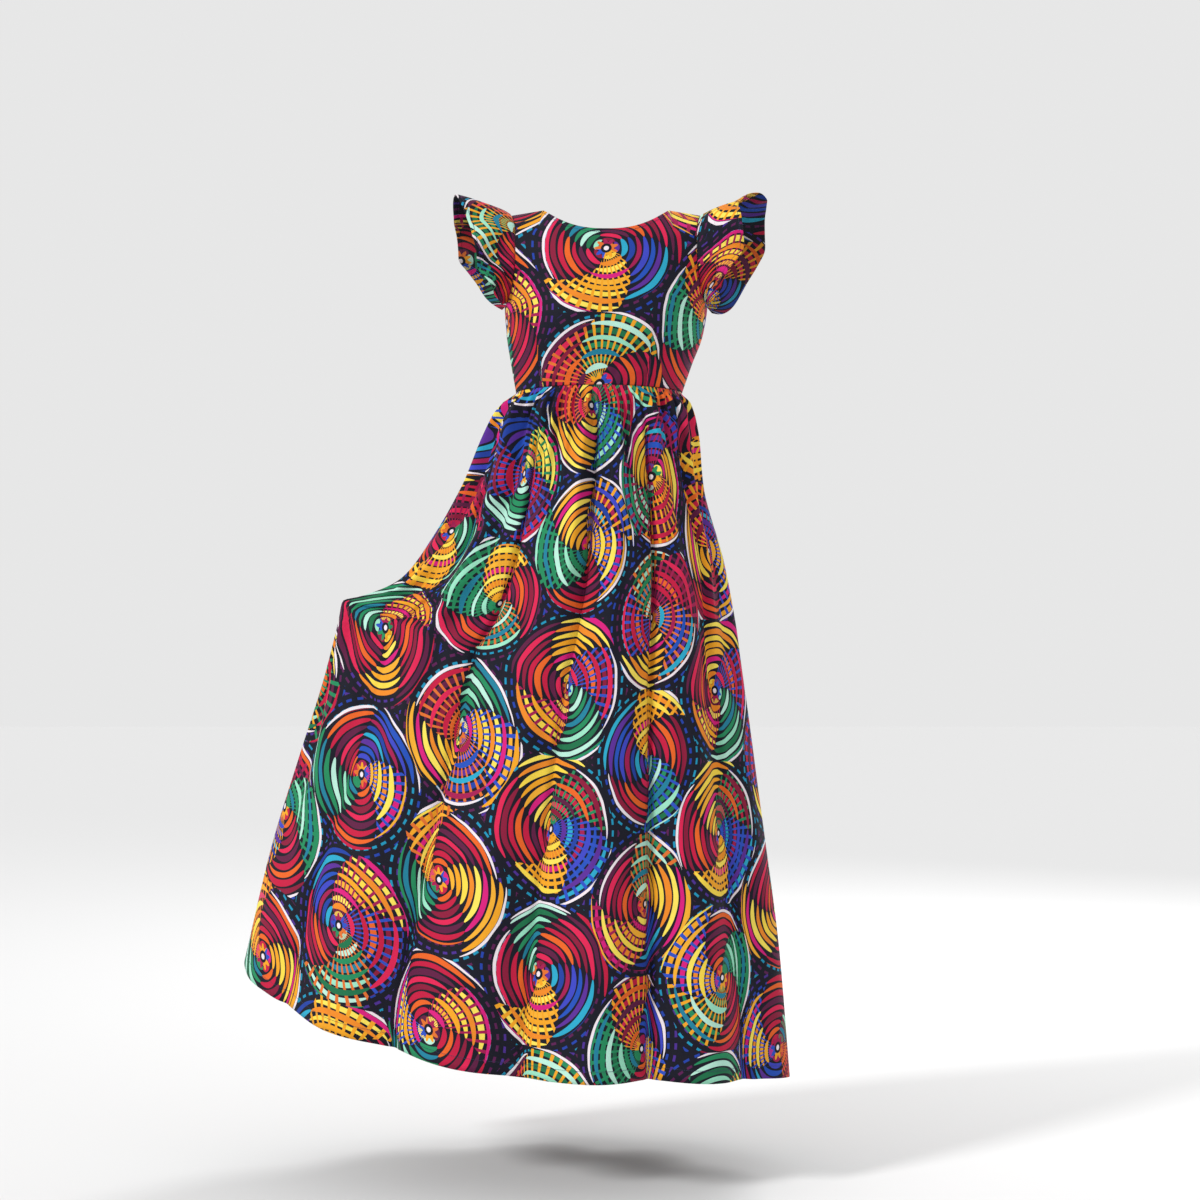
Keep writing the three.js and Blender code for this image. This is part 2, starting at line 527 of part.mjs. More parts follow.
// Where the slider sits: on the centre back line, one grid row under the back neck edge.
function zipTopFrame() {
  const column = bodiceBackLeft.points[0].slice(-3)
  const up = column[2].clone().sub(column[0]).setX(0).normalize()
  const across = new THREE.Vector3(-1, 0, 0)
  const off = across.clone().cross(up).normalize()
  const place = column[1].clone().setX(0).addScaledVector(off, CLOTH / 2 + 2 * SEAM_GAP)
  const turn = new THREE.Quaternion().setFromRotationMatrix(new THREE.Matrix4().makeBasis(across, up, off))
  return { place, turn, off }
}

// Materials
const print = new THREE.MeshStandardMaterial({ color: 0x5a2340, roughness: 0.78, metalness: 0 })
const tapeCloth = new THREE.MeshStandardMaterial({ color: 0x14162a, roughness: 0.85, metalness: 0 })
const enamel = new THREE.MeshStandardMaterial({ color: 0x1a1c30, roughness: 0.35, metalness: 0.6 })

const dress = new THREE.Group()

function addPiece(name, geometry, material, x = 0, y = 0, z = 0) {
  const mesh = new THREE.Mesh(geometry, material)
  mesh.name = name
  mesh.position.set(x, y, z)
  dress.add(mesh)
  return mesh
}

// Each panel stands half a seam gap clear of the planes it is sewn along.
const half = SEAM_GAP / 2
addPiece('bodice_front', clothWall(bodiceFront), print, 0, -half, 0)
addPiece('bodice_back_left', clothWall(bodiceBackLeft), print, half, half, 0)
addPiece('bodice_back_right', clothWall(bodiceBackRight), print, -half, half, 0)
addPiece('skirt_front', clothWall(skirtFront), print, 0, -half, -SEAM_GAP)
addPiece('skirt_back_left', clothWall(skirtBackLeft), print, half, half, -SEAM_GAP)
addPiece('skirt_back_right', clothWall(skirtBackRight), print, -half, half, -SEAM_GAP)
addPiece('sleeve_frill_left', clothWall(frillGrid(1, LEFT_FRILL)), print)
addPiece('sleeve_frill_right', clothWall(frillGrid(-1, RIGHT_FRILL)), print)

const tapeOuter = -CLOTH / 2 - SEAM_GAP
const tapeInner = tapeOuter - TAPE.thickness
addPiece('zip_tape_left', wallOn(tapeGrid(bodiceBackLeft, skirtBackLeft), tapeInner, tapeOuter),
  tapeCloth, half, half, 0)
addPiece('zip_tape_right', wallOn(tapeGrid(bodiceBackRight, skirtBackRight), tapeInner, tapeOuter),
  tapeCloth, -half, half, 0)

const zipTop = zipTopFrame()
const slider = addPiece('zip_slider', sliderGeometry(), enamel)
slider.position.copy(zipTop.place)
slider.quaternion.copy(zipTop.turn)
const tab = addPiece('zip_pull_tab', tabGeometry(), enamel)
tab.position.copy(zipTop.place).addScaledVector(zipTop.off, PIVOT_HEIGHT)
tab.quaternion.copy(zipTop.turn)
tab.rotateX(TAB_LEAN)

export default dress
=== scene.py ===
"""Ankara wax print dress: fitted bodice with waist darts, flutter sleeves, gathered skirt held out
to one side, concealed back zip. Hollow, as it is worn. The scene is in metres, and the tables and
the functions that shape the cloth are in millimetres. +Z is up, the front faces -Y, and left and
right are the wearer's, so left is +X."""

import json
import math

import bmesh
import bpy
import numpy as np
from bpy.props import FloatProperty, FloatVectorProperty, IntProperty, PointerProperty
from mathutils import Matrix, Vector

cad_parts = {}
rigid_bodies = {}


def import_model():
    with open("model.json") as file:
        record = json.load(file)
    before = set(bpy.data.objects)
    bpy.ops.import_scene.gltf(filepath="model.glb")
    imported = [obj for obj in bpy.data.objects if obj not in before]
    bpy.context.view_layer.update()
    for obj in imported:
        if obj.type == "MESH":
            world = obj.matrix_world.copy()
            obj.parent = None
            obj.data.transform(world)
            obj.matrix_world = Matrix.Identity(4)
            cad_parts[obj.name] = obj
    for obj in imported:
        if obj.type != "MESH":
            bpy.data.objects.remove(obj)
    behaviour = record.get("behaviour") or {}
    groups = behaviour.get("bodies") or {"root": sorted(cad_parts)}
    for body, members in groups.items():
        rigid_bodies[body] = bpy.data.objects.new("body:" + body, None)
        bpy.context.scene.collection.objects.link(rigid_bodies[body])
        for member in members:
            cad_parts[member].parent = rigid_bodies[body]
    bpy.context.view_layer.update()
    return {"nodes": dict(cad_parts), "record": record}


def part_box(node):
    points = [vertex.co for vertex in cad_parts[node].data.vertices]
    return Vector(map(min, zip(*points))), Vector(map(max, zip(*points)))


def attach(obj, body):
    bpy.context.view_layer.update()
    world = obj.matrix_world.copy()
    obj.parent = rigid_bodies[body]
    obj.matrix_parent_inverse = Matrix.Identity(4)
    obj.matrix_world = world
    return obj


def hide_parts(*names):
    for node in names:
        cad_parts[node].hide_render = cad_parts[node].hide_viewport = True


bl_info = {
    "name": "Ankara Wax Print Dress",
    "version": (1, 0, 0),
    "blender": (4, 5, 0),
    "location": "View3D > Sidebar > Dress",
    "description": "Builds a printed cotton dress around its packed construction",
    "category": "Object",
}

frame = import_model()
BODY = frame["record"]["behaviour"]["joints"][0]["parent"]
MM = 0.001

# Bodice
NECK_HALF = 100
NECK_DROP = {-1: 38, 1: 22}  # front, back
NECK_DEPTH = {-1: 70, 1: 80}
SHOULDER_TIP, SHOULDER_DROP = 148, 8
BUST_X, BUST_Z, BUST_SPREAD_X, BUST_SPREAD_Z, BUST_FULLNESS = 72, -178, 46, 44, 13
UNDERARM_AT = 0.5
SLEEVE_GAP = 0.9
SEAM_HALF_GAP, WAIST_GAP = 0.15, 0.3


class Table:
    """Rows of sizes in millimetres with named columns, read on smooth curves through the rows."""

    def __init__(self, names, *rows):
        self.columns = dict(zip(names.split(), np.array(rows, float).T))
        self.rows = [dict(zip(names.split(), row)) for row in rows]

    def read(self, name, at):
        """A column's value at each place, on a curve that never swings past the rows."""
        at = np.asarray(at, float)
        x, y = self.columns["at"], self.columns[name]
        rise = np.diff(y) / np.diff(x)
        before, after = np.concatenate([rise[:1], rise]), np.concatenate([rise, rise[-1:]])
        total = before + after
        same_way = before * after > 0
        slope = np.where(same_way, 2 * before * after / np.where(same_way, total, 1), 0)
        low = np.clip(np.searchsorted(x, at, side="right") - 1, 0, len(x) - 2)
        span = x[low + 1] - x[low]
        t = np.clip((at - x[low]) / span, 0, 1)
        return (
            (2 * t**3 - 3 * t**2 + 1) * y[low]
            + (t**3 - 2 * t**2 + t) * span * slope[low]
            + (3 * t**2 - 2 * t**3) * y[low + 1]
            + (t**3 - t**2) * span * slope[low + 1]
        )


FRONT_SECTIONS = Table("at mid_x mid_y mid_z side_x side_y side_z turn",
    (0.0, -11, -99, -282, 130, 0, -288, 90),
    (0.2, -7, -105, -236, 142, 0, -242, 90),
    (0.38, -2, -112, -186, 154, 0, -196, 90),
    (0.5, 0, -112, -148, 159, 0, -152, 90),
    (0.54, 0, -110, -136, 154, -20, -146, 82),
    (0.6, 0, -106, -120, 147, -38, -124, 72),
    (0.75, 0, -96, -88, 141, -52, -82, 62),
    (0.88, 0, -84, -62, 141, -42, -42, 58),
)
BACK_SECTIONS = Table("at mid_x mid_y mid_z side_x side_y side_z turn",
    (0.0, -11, 100, -288, 130, 0, -288, 90),
    (0.2, -7, 103, -238, 142, 0, -242, 90),
    (0.38, -2, 109, -190, 154, 0, -196, 90),
    (0.5, 0, 113, -150, 159, 0, -152, 90),
    (0.54, 0, 113, -138, 156, 20, -146, 82),
    (0.6, 0, 112, -120, 151, 40, -124, 72),
    (0.75, 0, 106, -80, 147, 55, -82, 62),
    (0.88, 0, 95, -48, 146, 44, -42, 58),
)
SKIRT_SECTIONS = Table(
    "at left_x left_z right_x right_z round front_x front_y front_z back_x back_y back_z",
    (0.0, 119, -288, -141, -288, 2.0, -11, -99, -282, -11, 100, -288),
    (0.04, 129, -331, -168, -326, 1.95, -11, -116, -324, -11, 116, -332),
    (0.15, 149, -446, -214, -424, 1.75, -14, -140, -440, -11, 150, -450),
    (0.26, 184, -562, -275, -519, 1.5, -22, -155, -556, -14, 168, -570),
    (0.34, 199, -648, -327, -582, 1.36, -32, -165, -640, -22, 176, -655),
    (0.4, 208, -712, -386, -607, 1.26, -40, -172, -703, -32, 181, -720),
    (0.43, 213, -744, -414, -614, 1.22, -45, -176, -735, -37, 184, -752),
    (0.46, 218, -776, -421, -645, 1.26, -48, -181, -766, -42, 187, -784),
    (0.55, 232, -872, -444, -736, 1.4, -56, -197, -858, -54, 198, -881),
    (0.67, 249, -1000, -481, -853, 1.5, -65, -216, -982, -66, 214, -1026),
    (0.82, 268, -1160, -527, -1003, 1.62, -74, -238, -1136, -80, 236, -1204),
    (1.0, 283, -1358, -569, -1181, 1.7, -80, -262, -1322, -92, 258, -1418),
)
FRONT_FOLDS = Table("waist hem out wide at",
    (0.07, 0.08, 13, 0.05, 0.1),
    (0.16, 0.17, -16, 0.042, 0.0),
    (0.26, 0.26, 22, 0.055, 0.05),
    (0.315, 0.345, -30, 0.036, 0.0),
    (0.4, 0.44, 24, 0.052, 0.03),
    (0.505, 0.54, -20, 0.036, 0.0),
    (0.59, 0.62, 15, 0.05, 0.12),
    (0.7, 0.71, -22, 0.034, 0.0),
    (0.78, 0.79, 16, 0.045, 0.2),
    (0.86, 0.88, -12, 0.036, 0.05),
)
BACK_FOLDS = Table("waist hem out wide at",
    (0.08, 0.09, 14, 0.05, 0.08),
    (0.16, 0.18, -21, 0.036, 0.0),
    (0.24, 0.27, 23, 0.05, 0.05),
    (0.34, 0.36, -24, 0.038, 0.03),
    (0.43, 0.455, 17, 0.046, 0.2),
    (0.57, 0.56, -19, 0.034, 0.2),
    (0.65, 0.645, 22, 0.052, 0.04),
    (0.73, 0.735, -25, 0.036, 0.0),
    (0.81, 0.82, 15, 0.042, 0.1),
    (0.88, 0.9, -11, 0.034, 0.05),
)
LEFT_FRILL = Table("at out y z arch",
    (0.0, 163, -26, -151, 0),
    (0.1, 173, -44, -134, 1),
    (0.2, 191, -62, -100, 3),
    (0.3, 213, -72, -64, 7),
    (0.38, 214, -68, -34, 10),
    (0.45, 203, -46, 13, 8),
    (0.52, 216, -6, 10, 2),
    (0.6, 250, 30, 38, 6),
    (0.7, 258, 64, 4, 12),
    (0.8, 254, 88, -44, 9),
    (0.88, 240, 96, -88, 5),
    (0.94, 208, 84, -140, 3),
    (0.98, 182, 54, -170, 1),
    (1.0, 168, 28, -158, 0),
)
RIGHT_FRILL = Table("at out y z arch",
    (0.0, 163, -26, -151, 0),
    (0.1, 171, -44, -140, 1),
    (0.2, 182, -60, -122, 3),
    (0.3, 197, -76, -95, 7),
    (0.38, 206, -74, -62, 10),
    (0.45, 213, -46, -18, 8),
    (0.52, 237, -8, 21, 8),
    (0.6, 243, 27, 5, 12),
    (0.7, 241, 58, -26, 12),
    (0.8, 235, 80, -62, 8),
    (0.88, 220, 86, -92, 5),
    (0.94, 194, 70, -130, 2),
    (0.98, 175, 46, -148, 1),
    (1.0, 165, 28, -153, 0),
)

FRONT_DARTS = Table("foot_z foot_x top_z top_x take",
    (-288, -98, -184, -112, 22),
    (-288, 62, -184, 74, 22),
)

# Creases, as soft ridges and troughs: from one place of a panel's flat cloth to another, counted
# from the middle of its lower edge, with the rise (below 0 for a trough) and the half width.
BODICE_CREASES = Table("from_x from_y to_x to_y rise wide",
    (-118, 12, -40, 26, 1.6, 5),
    (-126, 30, -52, 48, -1.8, 6),
    (120, 14, 46, 22, 1.5, 5),
    (128, 34, 60, 60, -1.7, 6),
    (-20, 6, -26, 60, 1.2, 6),
    (18, 4, 30, 52, -1.3, 5),
    (-132, 120, -84, 150, -2.2, 7),
    (-138, 138, -96, 172, 2.0, 8),
    (134, 122, 88, 154, -2.0, 7),
    (140, 142, 100, 176, 1.8, 8),
    (-60, 205, 10, 190, -1.4, 9),
    (72, 208, 4, 186, 1.2, 9),
    (6, 80, -8, 150, 1.0, 8),
)
BACK_BODICE_CREASES = Table("from_x from_y to_x to_y rise wide",
    (118, 12, 50, 24, -1.8, 6),
    (126, 34, 52, 58, 1.7, 7),
    (130, 118, 84, 150, -1.8, 7),
    (60, 190, 116, 214, 1.4, 8),
)
# Creases towards the place that is held out: where each starts, its rise and half width.
HELD_CREASES = Table("at across out wide",
    (0.01, 0.80, 6, 0.022),
    (0.02, 0.66, -7, 0.026),
    (0.06, 0.90, -6, 0.02),
    (0.10, 0.52, 5, 0.03),
    (0.26, 0.70, 6, 0.022),
    (0.36, 0.62, -6, 0.024),
    (0.50, 0.72, 6, 0.022),
    (0.64, 0.80, -8, 0.022),
    (0.78, 0.88, 9, 0.024),
    (0.92, 0.93, -8, 0.022),
)
FRILL_FLUTES = Table("at wide rise sharp",
    (0.10, 0.035, -5, 1.5),
    (0.19, 0.04, 8, 1.5),
    (0.28, 0.032, -9, 1.4),
    (0.37, 0.038, 10, 1.5),
    (0.45, 0.026, -9, 1.3),
    (0.54, 0.036, 9, 1.5),
    (0.63, 0.03, -10, 1.4),
    (0.72, 0.038, 10, 1.5),
    (0.81, 0.03, -9, 1.4),
    (0.90, 0.034, 7, 1.5),
)
# Where each panel was laid on the print, sideways and upwards, in millimetres
PRINT_PLACES = {
    "front_bodice": (0, 0),
    "back_bodice_left": (60, 48),
    "back_bodice_right": (-35, 130),
    "front_skirt": (22, 64),
    "back_skirt_left": (148, -40),
    "back_skirt_right": (85, 15),
    "frill_left": (30, 90),
    "frill_right": (-70, 20),
}
HELD_AT = 0.43
SKIRT_TOP_CUT, SKIRT_HEM_CUT, SKIRT_LENGTH = 720, 1225, 1090
FRILL_GATHER = 1.3
HEM_TURNING, FRILL_TURNING, NECK_TURNING = 22, 7, 8
WAIST_CROWDING = 1.25
FREE_EDGE_REACH = 12
STITCH_AT = 0.86  # share of a turning's width
NECK_STITCH_END = 3
STITCH_PITCH, STITCH_LENGTH, STITCH_RADIUS, STITCH_PROUD = 3.4, 2.5, 0.28, 0.45
TOOTH_PITCH, TOOTH_WIDTH, TOOTH_RADIUS, TEETH_DEPTH, TEETH_CLEARANCE = 1.3, 4.2, 0.42, 2.6, 1.5
ZIP_END_AT, ZIP_INSET = 0.16, 0.004
BESIDE_ZIP, SKIRT_BESIDE_ZIP = (0, 0.01, 0.02), 0.3
GATHER_SEED, FOLD_SEED = 11, 23
WAIST_GATHERS, GATHER_REACH, GATHER_RISE = 34, (0.08, 0.2), (6.0, 10.0)
UPPER_FOLDS, UPPER_FOLD_END, UPPER_FOLD_RISE = 15, (0.24, 0.62), (8, 14)
LOWER_FOLDS, LOWER_FOLD_START, LOWER_FOLD_RISE = 17, (0.15, 0.45), (2.5, 6.5)
FRILL_GATHERS, FRILL_GATHER_RISE = 30, (0.8, 1.8)
PALE_FLOOR, STUDIO_WHITE = (0.7, 0.7, 0.7), 0.8
FLOOR_Z, FLOOR_SIZE = -1.51, 14
CAMERA_X, CAMERA_Z, CAMERA_DISTANCE, CAMERA_SPAN = -0.0095, -0.613, 4.0, 1.89
LIGHT_TARGET = (-0.1, 0, -0.6)
STUDIO_LIGHTS = (
    ("key", "SUN", (-3.4, -2.6, 2.0), math.radians(9), 2.1),
    ("fill", "AREA", (2.6, -3.0, 0.2), 2.4, 14),
    ("back", "AREA", (1.6, 2.8, 1.2), 1.6, 70),
)
# Print colours, one for each stroke outwards
CRIMSON_STROKES = ("C4123F", "8B1038", "DE1F52", "5E1440", "C4123F", "E8641F")
AMBER_STROKES = ("F2A51F", "F9D94A", "EE8A22", "FBE35C", "D8167C", "F5B030")
GREEN_STROKES = ("1F8A5B", "9BE3C4", "177048", "B9EBD8", "1F8A5B", "1A7F9A")
BLUE_STROKES = ("1E4FB8", "5A2A96", "27A7C9", "1B3FA0", "A3124F", "3B45C0")
LATER_FAMILIES = ((0.34, AMBER_STROKES), (0.66, GREEN_STROKES), (0.86, BLUE_STROKES))
ECHO_STROKES = ("1C3FA6", "4A2A8E", "1592B8", "5A1550")
BAR_COLOURS = ("E0702A", "A3124F", "2A4FC0", "F2A51F", "1F8A5B")
WHITE_STROKE = "F1E6EC"
# Print sizes: in ring pitches, in shares of a bar's pitch, then in metres
STROKE_WIDTH, STROKE_WANDER, ECHO_WIDTH, ECHO_REACH = 0.38, 0.05, 0.17, 2.6
EYE_DOT, EYE_RING, FLOWER = 0.36, 0.75, 1.35
BAR_WIDTH, ECHO_GAP = 0.17, 0.24
RIM_UNEVEN, RIM_GAP, RIM_WIDTH, PETAL_DEPTH = 0.03, 0.003, 0.0023, 0.0035
ROW_STRETCH, STROKE_TAPER, PETALS = 1.12, 0.45, 9
WRONG_SIDE_DYE = 0.62


def smooth(start, end, value):
    t = np.clip((np.asarray(value, float) - start) / (end - start), 0, 1)
    return t * t * (3 - 2 * t)


def bell(distance):
    return np.exp(-np.asarray(distance, float) ** 2)


def unit(vectors):
    return vectors / np.maximum(np.linalg.norm(vectors, axis=-1, keepdims=True), 1e-12)


def arc_lengths(points, axis):
    """Distance along the grid lines of one axis, from 0 at the first point of each."""
    step = np.linalg.norm(np.diff(points, axis=axis), axis=-1)
    start = np.zeros_like(np.take(step, [0], axis=axis))
    return np.concatenate([start, np.cumsum(step, axis=axis)], axis=axis)


def points_at(places, along, path):
    """Points of a path at places counted along it."""
    return np.stack([np.interp(places, along, path[:, k]) for k in range(3)], axis=-1)


def normals_of(points, outside):
    across = np.gradient(points, axis=0)
    along = np.gradient(points, axis=1)
    return unit(np.cross(across, along)) * outside


# Bodice


def top_edge(across, facing):
    """The scooped neckline, then the shoulder seams in the plane y = 0."""
    x = SHOULDER_TIP * across
    share = np.abs(x) / NECK_HALF
    on_neck = share < 1
    depth = np.sqrt(np.clip(1 - share**2, 0, 1)) * NECK_DEPTH[facing] * facing
    along = (np.abs(x) - NECK_HALF) / (SHOULDER_TIP - NECK_HALF)
    z = np.where(on_neck, -NECK_DROP[facing] * (1 - share**2.4), -SHOULDER_DROP * along)
    return np.stack([x, np.where(on_neck, depth, 0), z], axis=-1)


def bodice_section(table, across, at):
    turn = np.radians(table.read("turn", at))
    inward = (1 - np.cos(across * turn)) / (1 - np.cos(turn))
    mid = {axis: table.read("mid_" + axis, at) for axis in "xyz"}
    side = {axis: table.read("side_" + axis, at) for axis in "xyz"}
    x = mid["x"] + side["x"] * np.sin(across * turn) / np.sin(turn)
    y = mid["y"] + (side["y"] - mid["y"]) * inward
    return np.stack([x, y, mid["z"] + (side["z"] - mid["z"]) * inward], axis=-1)


def bodice_points(across, at, facing):
    """Bodice surface for grids of places: across from -1 (right) to 1 (left), at from 0 to 1."""
    table = FRONT_SECTIONS if facing < 0 else BACK_SECTIONS
    last = table.columns["at"][-1]
    low = bodice_section(table, across, np.minimum(at, last))
    step = 0.02
    heading = (low - bodice_section(table, across, np.minimum(at, last) - step)) * (0.5 / step)
    t = (np.clip(at - last, 0, None) / (1 - last))[..., None]
    bend = low + heading * (1 - last)
    points = low * (1 - t) ** 2 + bend * 2 * t * (1 - t) + top_edge(across, facing) * t**2
    if facing < 0:
        rise = bell((points[..., 2] - BUST_Z) / BUST_SPREAD_Z)
        cups = bell((points[..., 0] - BUST_X) / BUST_SPREAD_X)
        cups = cups + bell((points[..., 0] + BUST_X) / BUST_SPREAD_X)
        points[..., 1] -= BUST_FULLNESS * rise * cups
    return points


def bodice_pattern(points, across):
    """Flat cloth coordinates: distance from the grain line down the middle, height over waist."""
    width = arc_lengths(points, 0)
    middle = np.array([np.interp(0, across[:, j], width[:, j]) for j in range(width.shape[1])])
    height = arc_lengths(points, 1)
    nearest = np.abs(across[:, 0]).argmin()
    x = width - middle
    y = 0.6 * height[nearest][None, :] + 0.4 * height.mean(axis=0)[None, :]
    return np.stack([x, np.broadcast_to(y, x.shape)], axis=-1)


# Skirt


def skirt_quarter(at, facing, side, shares):
    """Points of one quarter of a section, at shares of its length from the side seam inward."""
    side_name, mid_name = "left" if side > 0 else "right", "front" if facing < 0 else "back"
    corner = [SKIRT_SECTIONS.read(f"{side_name}_{axis}", at) for axis in "xz"]
    middle = [SKIRT_SECTIONS.read(f"{mid_name}_{axis}", at) for axis in "xyz"]
    power = 1 if side > 0 else 2 / SKIRT_SECTIONS.read("round", at)
    angle = np.linspace(0, math.pi / 2, 121)
    inward = 1 - np.clip(np.cos(angle), 0, 1) ** power
    depth = np.sin(angle) ** power
    x = corner[0] + (middle[0] - corner[0]) * inward
    z = middle[2] + (corner[1] - middle[2]) * (1 - depth) ** 0.8
    curve = np.stack([x, middle[1] * depth, z], axis=-1)
    length = arc_lengths(curve, 0)
    return points_at(shares * length[-1], length, curve)


def skirt_base(across, at, facing):
    """The smooth skirt without folds. across runs from 0 at the left seam to 1 at the right one."""
    columns = []
    for row_at in at[0]:
        line = across[:, 0]
        left, right = line <= 0.5, line > 0.5
        row = np.empty((len(line), 3))
        row[left] = skirt_quarter(row_at, facing, 1, line[left] * 2)
        row[right] = skirt_quarter(row_at, facing, -1, (1 - line[right]) * 2)
        columns.append(row)
    return np.stack(columns, axis=1)


def seam_fade(across, facing):
    fade = smooth(0, 0.06, across) * smooth(0, 0.06, 1 - across)
    return fade if facing < 0 else fade * smooth(0, 0.05, np.abs(across - 0.5))


def main_folds(across, at, facing):
    """Height of the large folds, in millimetres, and the cloth hidden in the troughs."""
    height, hidden = np.zeros_like(at), np.zeros_like(at)
    for fold in (FRONT_FOLDS if facing < 0 else BACK_FOLDS).rows:
        centre = fold["waist"] + (fold["hem"] - fold["waist"]) * at
        growth = smooth(fold["at"], fold["at"] + 0.12, at) * (0.25 + 0.75 * at)
        offset = (across - centre) / fold["wide"]
        if fold["out"] < 0:
            crease = smooth(0.02, 0.1, at) * (1 - 0.45 * at)
            deep = growth * 0.8 * bell(offset) + crease * 0.5 * bell(offset / 0.2)
            height += fold["out"] * deep
            taken = -fold["out"] * seam_fade(centre, facing)
            hidden += taken * np.maximum(growth, crease * 0.6) * np.tanh(offset * 5)
        else:
            height += fold["out"] * growth * bell(offset)
    return height * seam_fade(across, facing), hidden


def gathers(across, at, facing):
    """Small uneven ridges that start in the waist seam and die away down the skirt."""
    random = np.random.default_rng(GATHER_SEED + facing)
    height = np.zeros_like(at)
    for k in range(WAIST_GATHERS):
        centre = (k + 0.5 + random.uniform(-0.3, 0.3)) / WAIST_GATHERS
        reach = random.uniform(*GATHER_REACH) * (1 + 1.2 * (random.random() < 0.35))
        rise = random.uniform(*GATHER_RISE)
        wide = random.uniform(0.25, 0.36) / WAIST_GATHERS
        drift = random.uniform(-0.4, 0.4) * at
        shape = bell((across - centre - drift * 0.1) / (wide * (1 + 0.8 * at / reach)))
        height += rise * shape * smooth(0, 0.016, at) * (1 - smooth(0.3 * reach, reach, at))
    return height * smooth(0, 0.01, across) * smooth(0, 0.01, 1 - across)


def small_folds(across, at, facing):
    """Soft folds of middle size between the large ones, growing out of the gathers."""
    random = np.random.default_rng(FOLD_SEED + facing)
    height = np.zeros_like(at)
    for k in range(UPPER_FOLDS):
        centre = (k + 0.5 + random.uniform(-0.3, 0.3)) / UPPER_FOLDS
        end = random.uniform(*UPPER_FOLD_END)
        rise = random.uniform(*UPPER_FOLD_RISE) * (-1) ** k
        along = smooth(0, 0.035, at) * (1 - smooth(0.4 * end, end, at))
        height += rise * along * bell((across - centre) / random.uniform(0.016, 0.026))
    for k in range(LOWER_FOLDS):
        centre = (k + 0.5 + random.uniform(-0.35, 0.35)) / LOWER_FOLDS
        start = random.uniform(*LOWER_FOLD_START)
        end = start + random.uniform(0.3, 0.8)
        rise = random.uniform(*LOWER_FOLD_RISE) * random.choice([1, -1])
        wide = random.uniform(0.012, 0.024)
        bow = random.uniform(-0.02, 0.02) * np.sin(at * 3)
        along = smooth(start, start + 0.15, at) * (1 - smooth(end - 0.25, end, at) * (end < 1))
        height += rise * along * bell((across - centre - bow) / wide)
    return height * seam_fade(across, facing)


def held_folds(across, at):
    """Creases that run to the place on the right side seam where the skirt is held out."""
    height = np.zeros_like(at)
    for crease in HELD_CREASES.rows:
        dx, dy = 1 - crease["across"], HELD_AT - crease["at"]
        share = ((across - crease["across"]) * dx + (at - crease["at"]) * dy) / (dx * dx + dy * dy)
        side = ((across - crease["across"]) * dy - (at - crease["at"]) * dx) / math.hypot(dx, dy)
        along = smooth(-0.05, 0.45, share) * (1 - smooth(0.9, 1.0, share))
        narrowing = 1.15 - 0.8 * np.clip(share, 0, 1)
        height += crease["out"] * along * bell(side / (crease["wide"] * narrowing))
    return height


def skirt_points(across, at, facing):
    """The skirt with its folds, and its flat cloth coordinates in millimetres."""
    base = skirt_base(across, at, facing)
    tangent = np.gradient(base, axis=0)
    flat = np.stack([tangent[..., 1], -tangent[..., 0], np.zeros_like(at)], axis=-1)
    outward = unit(flat) * facing
    large, hidden = main_folds(across, at, facing)
    height = large + gathers(across, at, facing) + small_folds(across, at, facing)
    height = height + held_folds(across, at) * smooth(0, 0.012, 1 - across)
    width = SKIRT_TOP_CUT + (SKIRT_HEM_CUT - SKIRT_TOP_CUT) * at
    sideways = ((0.5 - across) * width - hidden) * -facing
    pattern = np.stack([sideways, (1 - at) * SKIRT_LENGTH], axis=-1)
    return base + outward * height[..., None], pattern


# Flutter sleeves


def armhole_roots(side, shares):
    """Points just outside the armhole edge, from the front underarm over to the back one."""
    at = np.linspace(UNDERARM_AT + 0.04, 1, 40)[None, :]
    edges = []
    for facing in (-1, 1):
        rim = bodice_points(np.full_like(at, side), at, facing)[0]
        inner = bodice_points(np.full_like(at, side * 0.95), at, facing)[0]
        tangent = unit(np.gradient(rim, axis=0))
        outward = rim - inner
        outward = unit(outward - tangent * (outward * tangent).sum(axis=-1, keepdims=True))
        edges.append(rim + outward * SLEEVE_GAP)
    path = np.concatenate([edges[0], edges[1][::-1][1:]])
    return points_at(shares, np.linspace(0, 1, len(path)), path)


def rounded(path, reach):
    """A path with its corners rounded off and its ends kept."""
    weights = bell(np.linspace(-1.6, 1.6, 2 * reach + 1))
    before = 2 * path[:1] - path[reach:0:-1]
    after = 2 * path[-1:] - path[-2 : -reach - 2 : -1]
    padded = np.concatenate([before, path, after])
    columns = [np.convolve(padded[:, k], weights / weights.sum(), "valid") for k in range(3)]
    return np.stack(columns, axis=-1)


